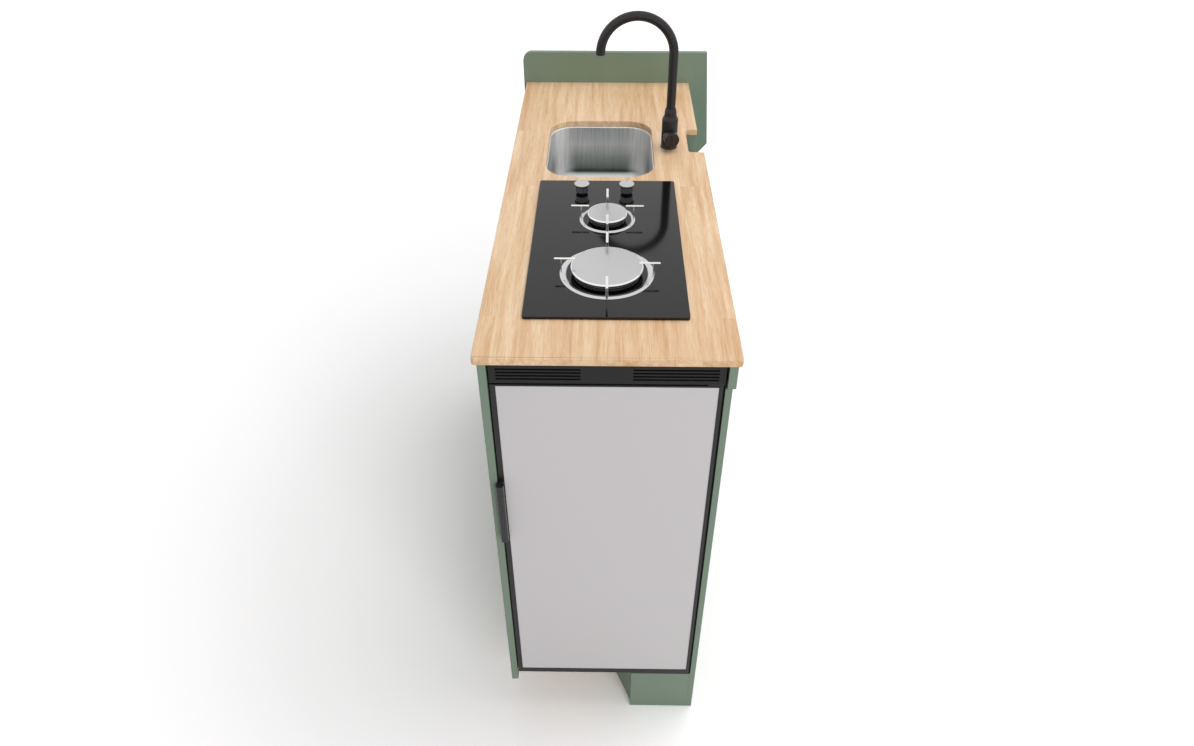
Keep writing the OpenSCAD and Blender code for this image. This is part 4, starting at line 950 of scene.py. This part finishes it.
def plug():
    """The turned plug with its pull, in the middle of the waste."""
    (x, y), _, _ = middle("sink_waste")
    _, base, top = middle("sink_plug")
    shape = bmesh.new()
    turn(shape, [(0, base), (18.2, base), (18.6, base + 1.5), (18.6, top - 18.2),
                 (30.3, top - 18), (30.5, top - 16.8), (24, top - 15.6), (10, top - 14.6),
                 (5.5, top - 13), (4.2, top - 10), (4.4, top - 4.5), (7.8, top - 3),
                 (8, top - 1), (6.5, top), (0, top)], Matrix.Translation((x, y, 0)), 0.8)
    settle(finished("sink_plug_turned", shape, [polished_steel]), "sink_plug")
    return round(top, 1)


print("Waste rim height:", waste(), "plug's top:", plug())
print("Other sink parts:", dress("sink_trap", pipe_plastic, 0.8)
      + dress("sink_clips", zinc_steel, 0.3))

# %% [markdown]
# ## Tap
# The tap's body is turned from one bar: a straight shaft, a soft shoulder and a narrow neck
# that takes the spout. The spout is a bent tube with an aerator pressed into its end. The
# handle turns on a housing that stands out towards the cook.

# %% Tap body
tube_r, housing_r = 10.6, 17.8
spout_low, spout_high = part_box("tap_spout")
tap_x, tap_y = spout_high[0] - tube_r * MM, (spout_low[1] + spout_high[1]) / 2
handle_low, handle_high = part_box("tap_handle")
handle_turn = math.radians(8)  # from the near side towards the wall side
facing = Matrix.Translation((tap_x, tap_y, (handle_low[2] + handle_high[2]) / 2)) \
    @ Matrix.Rotation(handle_turn, 4, "Z") @ Matrix.Rotation(math.radians(90), 4, "X")


def tap_body(shaft_r=19.1, foot_r=20.3, socket_r=10.7):
    """The turned body, its two water tails below, and the housing of the handle."""
    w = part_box("worktop")[1][2] / MM
    _, base, neck = middle("tap_body")
    shape = bmesh.new()
    turn(shape, [(0, base + 40), (16, base + 40), (16, w - 0.5), (foot_r, w), (foot_r, w + 1.8),
                 (shaft_r, w + 3.2), (shaft_r, w + 68), (17.9, w + 72.5), (15.2, w + 76.5),
                 (14.4, w + 82), (14.1, w + 88), (13.1, w + 92.5), (11.6, neck),
                 (socket_r, neck), (socket_r, neck - 20), (0, neck - 20)],
         Matrix.Translation((tap_x, tap_y, 0)), 1.6)
    for offset in (-0.007, 0.007):
        turn(shape, [(0, base), (5, base), (5, base + 42), (0, base + 42)],
             Matrix.Translation((tap_x + offset, tap_y, 0)), 0.6, 24)
    turn(shape, [(0, 6), (housing_r, 6), (housing_r, 25.4), (housing_r - 0.8, 26), (0, 26)],
         facing, 0.6, 64)
    settle(finished("tap_body_turned", shape, [tap_paint]), "tap_body")
    return round(neck - w, 1)


print("Tap body's height:", tap_body())

# %% Tap handle
def tap_handle():
    """A round handle, and the flat grip across its face."""
    shape = bmesh.new()
    turn(shape, [(3, 15), (3, 26.3), (17, 26.3), (housing_r, 27.1), (housing_r, 33.5),
                 (16.4, 35.4), (13, 36), (0, 36)], facing, 1.2, 64)
    grip = bmesh.new()
    block(grip, (-15.5, -3, 34), (15.5, 3, 38))
    bmesh.ops.transform(grip, matrix=facing @ Matrix.Rotation(math.radians(90), 4, "Z"),
                        verts=grip.verts)
    settle(finished("tap_handle_turned", shape, [tap_paint]), "tap_handle")
    settle(finished("tap_handle_grip", grip, [tap_paint], 1.2, 3), "tap_handle")
    return round(math.degrees(handle_turn))


print("Handle turned by", tap_handle(), "degrees")

# %% Tap spout
def tap_spout(rise_steps=6, arch_steps=48, end_mm=2):
    """A straight rise, half a circle and a short end, with an aerator in it."""
    arch_r = (spout_high[0] - spout_low[0]) / 2 - tube_r * MM
    arch_z = spout_high[2] - arch_r - tube_r * MM
    rise = arch_z - spout_low[2]
    path = [Vector((tap_x, tap_y, spout_low[2] + step * rise / rise_steps))
            for step in range(rise_steps)]
    for k in range(arch_steps + 1):
        a = math.pi * k / arch_steps
        path.append(Vector((tap_x - arch_r + arch_r * math.cos(a), tap_y,
                            arch_z + arch_r * math.sin(a))))
    tip = path[-1].copy()
    path.append(tip - Vector((0, 0, end_mm * MM)))
    shape = bmesh.new()
    sweep(shape, path, tube_r * MM, 40)
    end = tip.z / MM - end_mm
    turn(shape, [(9.6, end + 1), (9.6, end - 0.02), (8.4, end - 0.02), (8.2, end + 0.6),
                 (0, end + 0.6)], Matrix.Translation((tip.x, tip.y, 0)), 0.3, 40, finish=1)
    settle(finished("tap_spout_bent", shape, [tap_paint, black_plastic], 0.8, 3), "tap_spout")
    return round(arch_r / MM, 1)


print("Arch radius:", tap_spout(), "locknuts:", dress("tap_locknut", brass, 0.4))

# %% [markdown]
# ## Fridge
# The door is a painted panel held in a black moulded frame, with a slim moulded handle on its
# edge. Above it a grille lets the warm air out: tilted fins stand in its slots, so that the
# eye sees dark lines and not the inside.

# %% Fridge
fridge_finishes = [("door_frame", black_plastic, 1.0), ("fridge_grille", grille_plastic, 0.6),
                   ("door_panel", door_paint, 0.6), ("door_handle", handle_plastic, 2.4, 4),
                   ("fridge_shell", black_plastic, 1.5),
                   ("fridge_liner door_core", white_plastic, 2.5, 3),
                   ("door_gasket", seal_rubber, 1.5, 3),
                   ("door_bin_upper door_bin_lower", bin_clear, 0.8),
                   ("fridge_shelf_upper fridge_shelf_lower", shelf_clear, 0.8),
                   ("compressor", steel_paint, 1.5), ("fridge_hinges", steel_paint, 0.3)]
fridge = sum(dress(*row) for row in fridge_finishes)


def grille_fins(slots=4, pitch=7, lowest=30.5, plain=45, end_gap=12):
    """Tilted fins in the slots on both sides of the grille's plain middle, in mm."""
    low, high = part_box("fridge_grille")
    centre = (low[0] + high[0]) / 2
    length = (high[0] - low[0]) / 2 / MM - plain - end_gap
    fin = bmesh.new()
    block(fin, (-length / 2, -4.5, -0.4), (length / 2, 4.5, 0.4))
    places = [(Vector((centre + side * (plain + length / 2) * MM, low[1] + 0.0055,
                       high[2] - lowest * MM + k * pitch * MM)), (math.radians(-18), 0.0, 0.0))
              for side in (-1, 1) for k in range(slots)]
    copied("grille_fins", fin, places, grille_plastic, "fridge_grille", ease_mm=0.2)
    return len(places)


print("Fridge parts:", fridge, "fins:", grille_fins())

# %% [markdown]
# ## Locks, hinges and runners
# A push lock is a turned button in a trim ring: pushed, it springs out and becomes the
# handle. Hinges and runners are folded zinc-plated steel. The sink's clips are clamped by
# hexagon screws, one under each separate solid of that node.

# %% Push locks
def lock(node):
    """A button and its trim ring, turned about X."""
    low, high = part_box(node)
    y, z = (low[1] + high[1]) / 2, (low[2] + high[2]) / 2
    length, ring_r = (high[0] - low[0]) / MM, radius_of(node, axis=1)
    outwards = Matrix.Translation((low[0], y, z)) @ Matrix.Rotation(math.radians(90), 4, "Y")
    shape = bmesh.new()
    turn(shape, [(0, 0.4), (ring_r - 4, 0.1), (ring_r - 3.2, 0.6), (ring_r - 2.6, 0.6),
                 (ring_r - 2.2, 0), (ring_r - 0.6, 0), (ring_r, 0.5), (ring_r, 0.7),
                 (ring_r - 2.5, 0.7), (ring_r - 2.5, length), (0, length)], outwards, 0.5, 64)
    settle(finished(node + "_turned", shape, [polished_steel]), node)
    return round(ring_r, 1)


print("Locks:", [lock(node) for node in ("lock_sink_door", "lock_drawer_upper",
                                         "lock_drawer_lower")])
print("Metalwork:", dress("hinge_leaves_fixed hinge_leaves_moving drawer_runners", zinc_steel,
                          0.3))

# %% Clip screws
def solids_of(node):
    """The low and high corner of each separate solid in a node's mesh."""
    shape = node_shape(node)
    left, boxes = set(shape.verts), []
    while left:
        reached, edge = set(), [left.pop()]
        while edge:
            vert = edge.pop()
            reached.add(vert)
            edge += [other for link in vert.link_edges for other in link.verts
                     if other not in reached]
        left -= reached
        boxes.append([Vector([pick(v.co[i] for v in reached) for i in range(3)])
                      for pick in (min, max)])
    shape.free()
    return sorted(boxes, key=lambda box: tuple(box[0]))


def clip_screws():
    """One hexagon-head screw under each clip that holds the bowl."""
    head = bmesh.new()
    turn(head, [(0, -2.4), (3.4, -2.4), (3.9, -2.0), (3.9, 0.2), (0, 0.2)], Matrix(), 0.2, 6)
    places = [(Vector(((low.x + high.x) / 2, (low.y + high.y) / 2, low.z)), (0.0, 0.0, 0.0))
              for low, high in solids_of("sink_clips")]
    copied("sink_clip_screws", head, places, zinc_steel, "sink_clips", ease_mm=0.2)
    return len(places)


print("Clip screws:", clip_screws())

# %% [markdown]
# ## Sizes
# The dressed model must keep the CAD model's size.
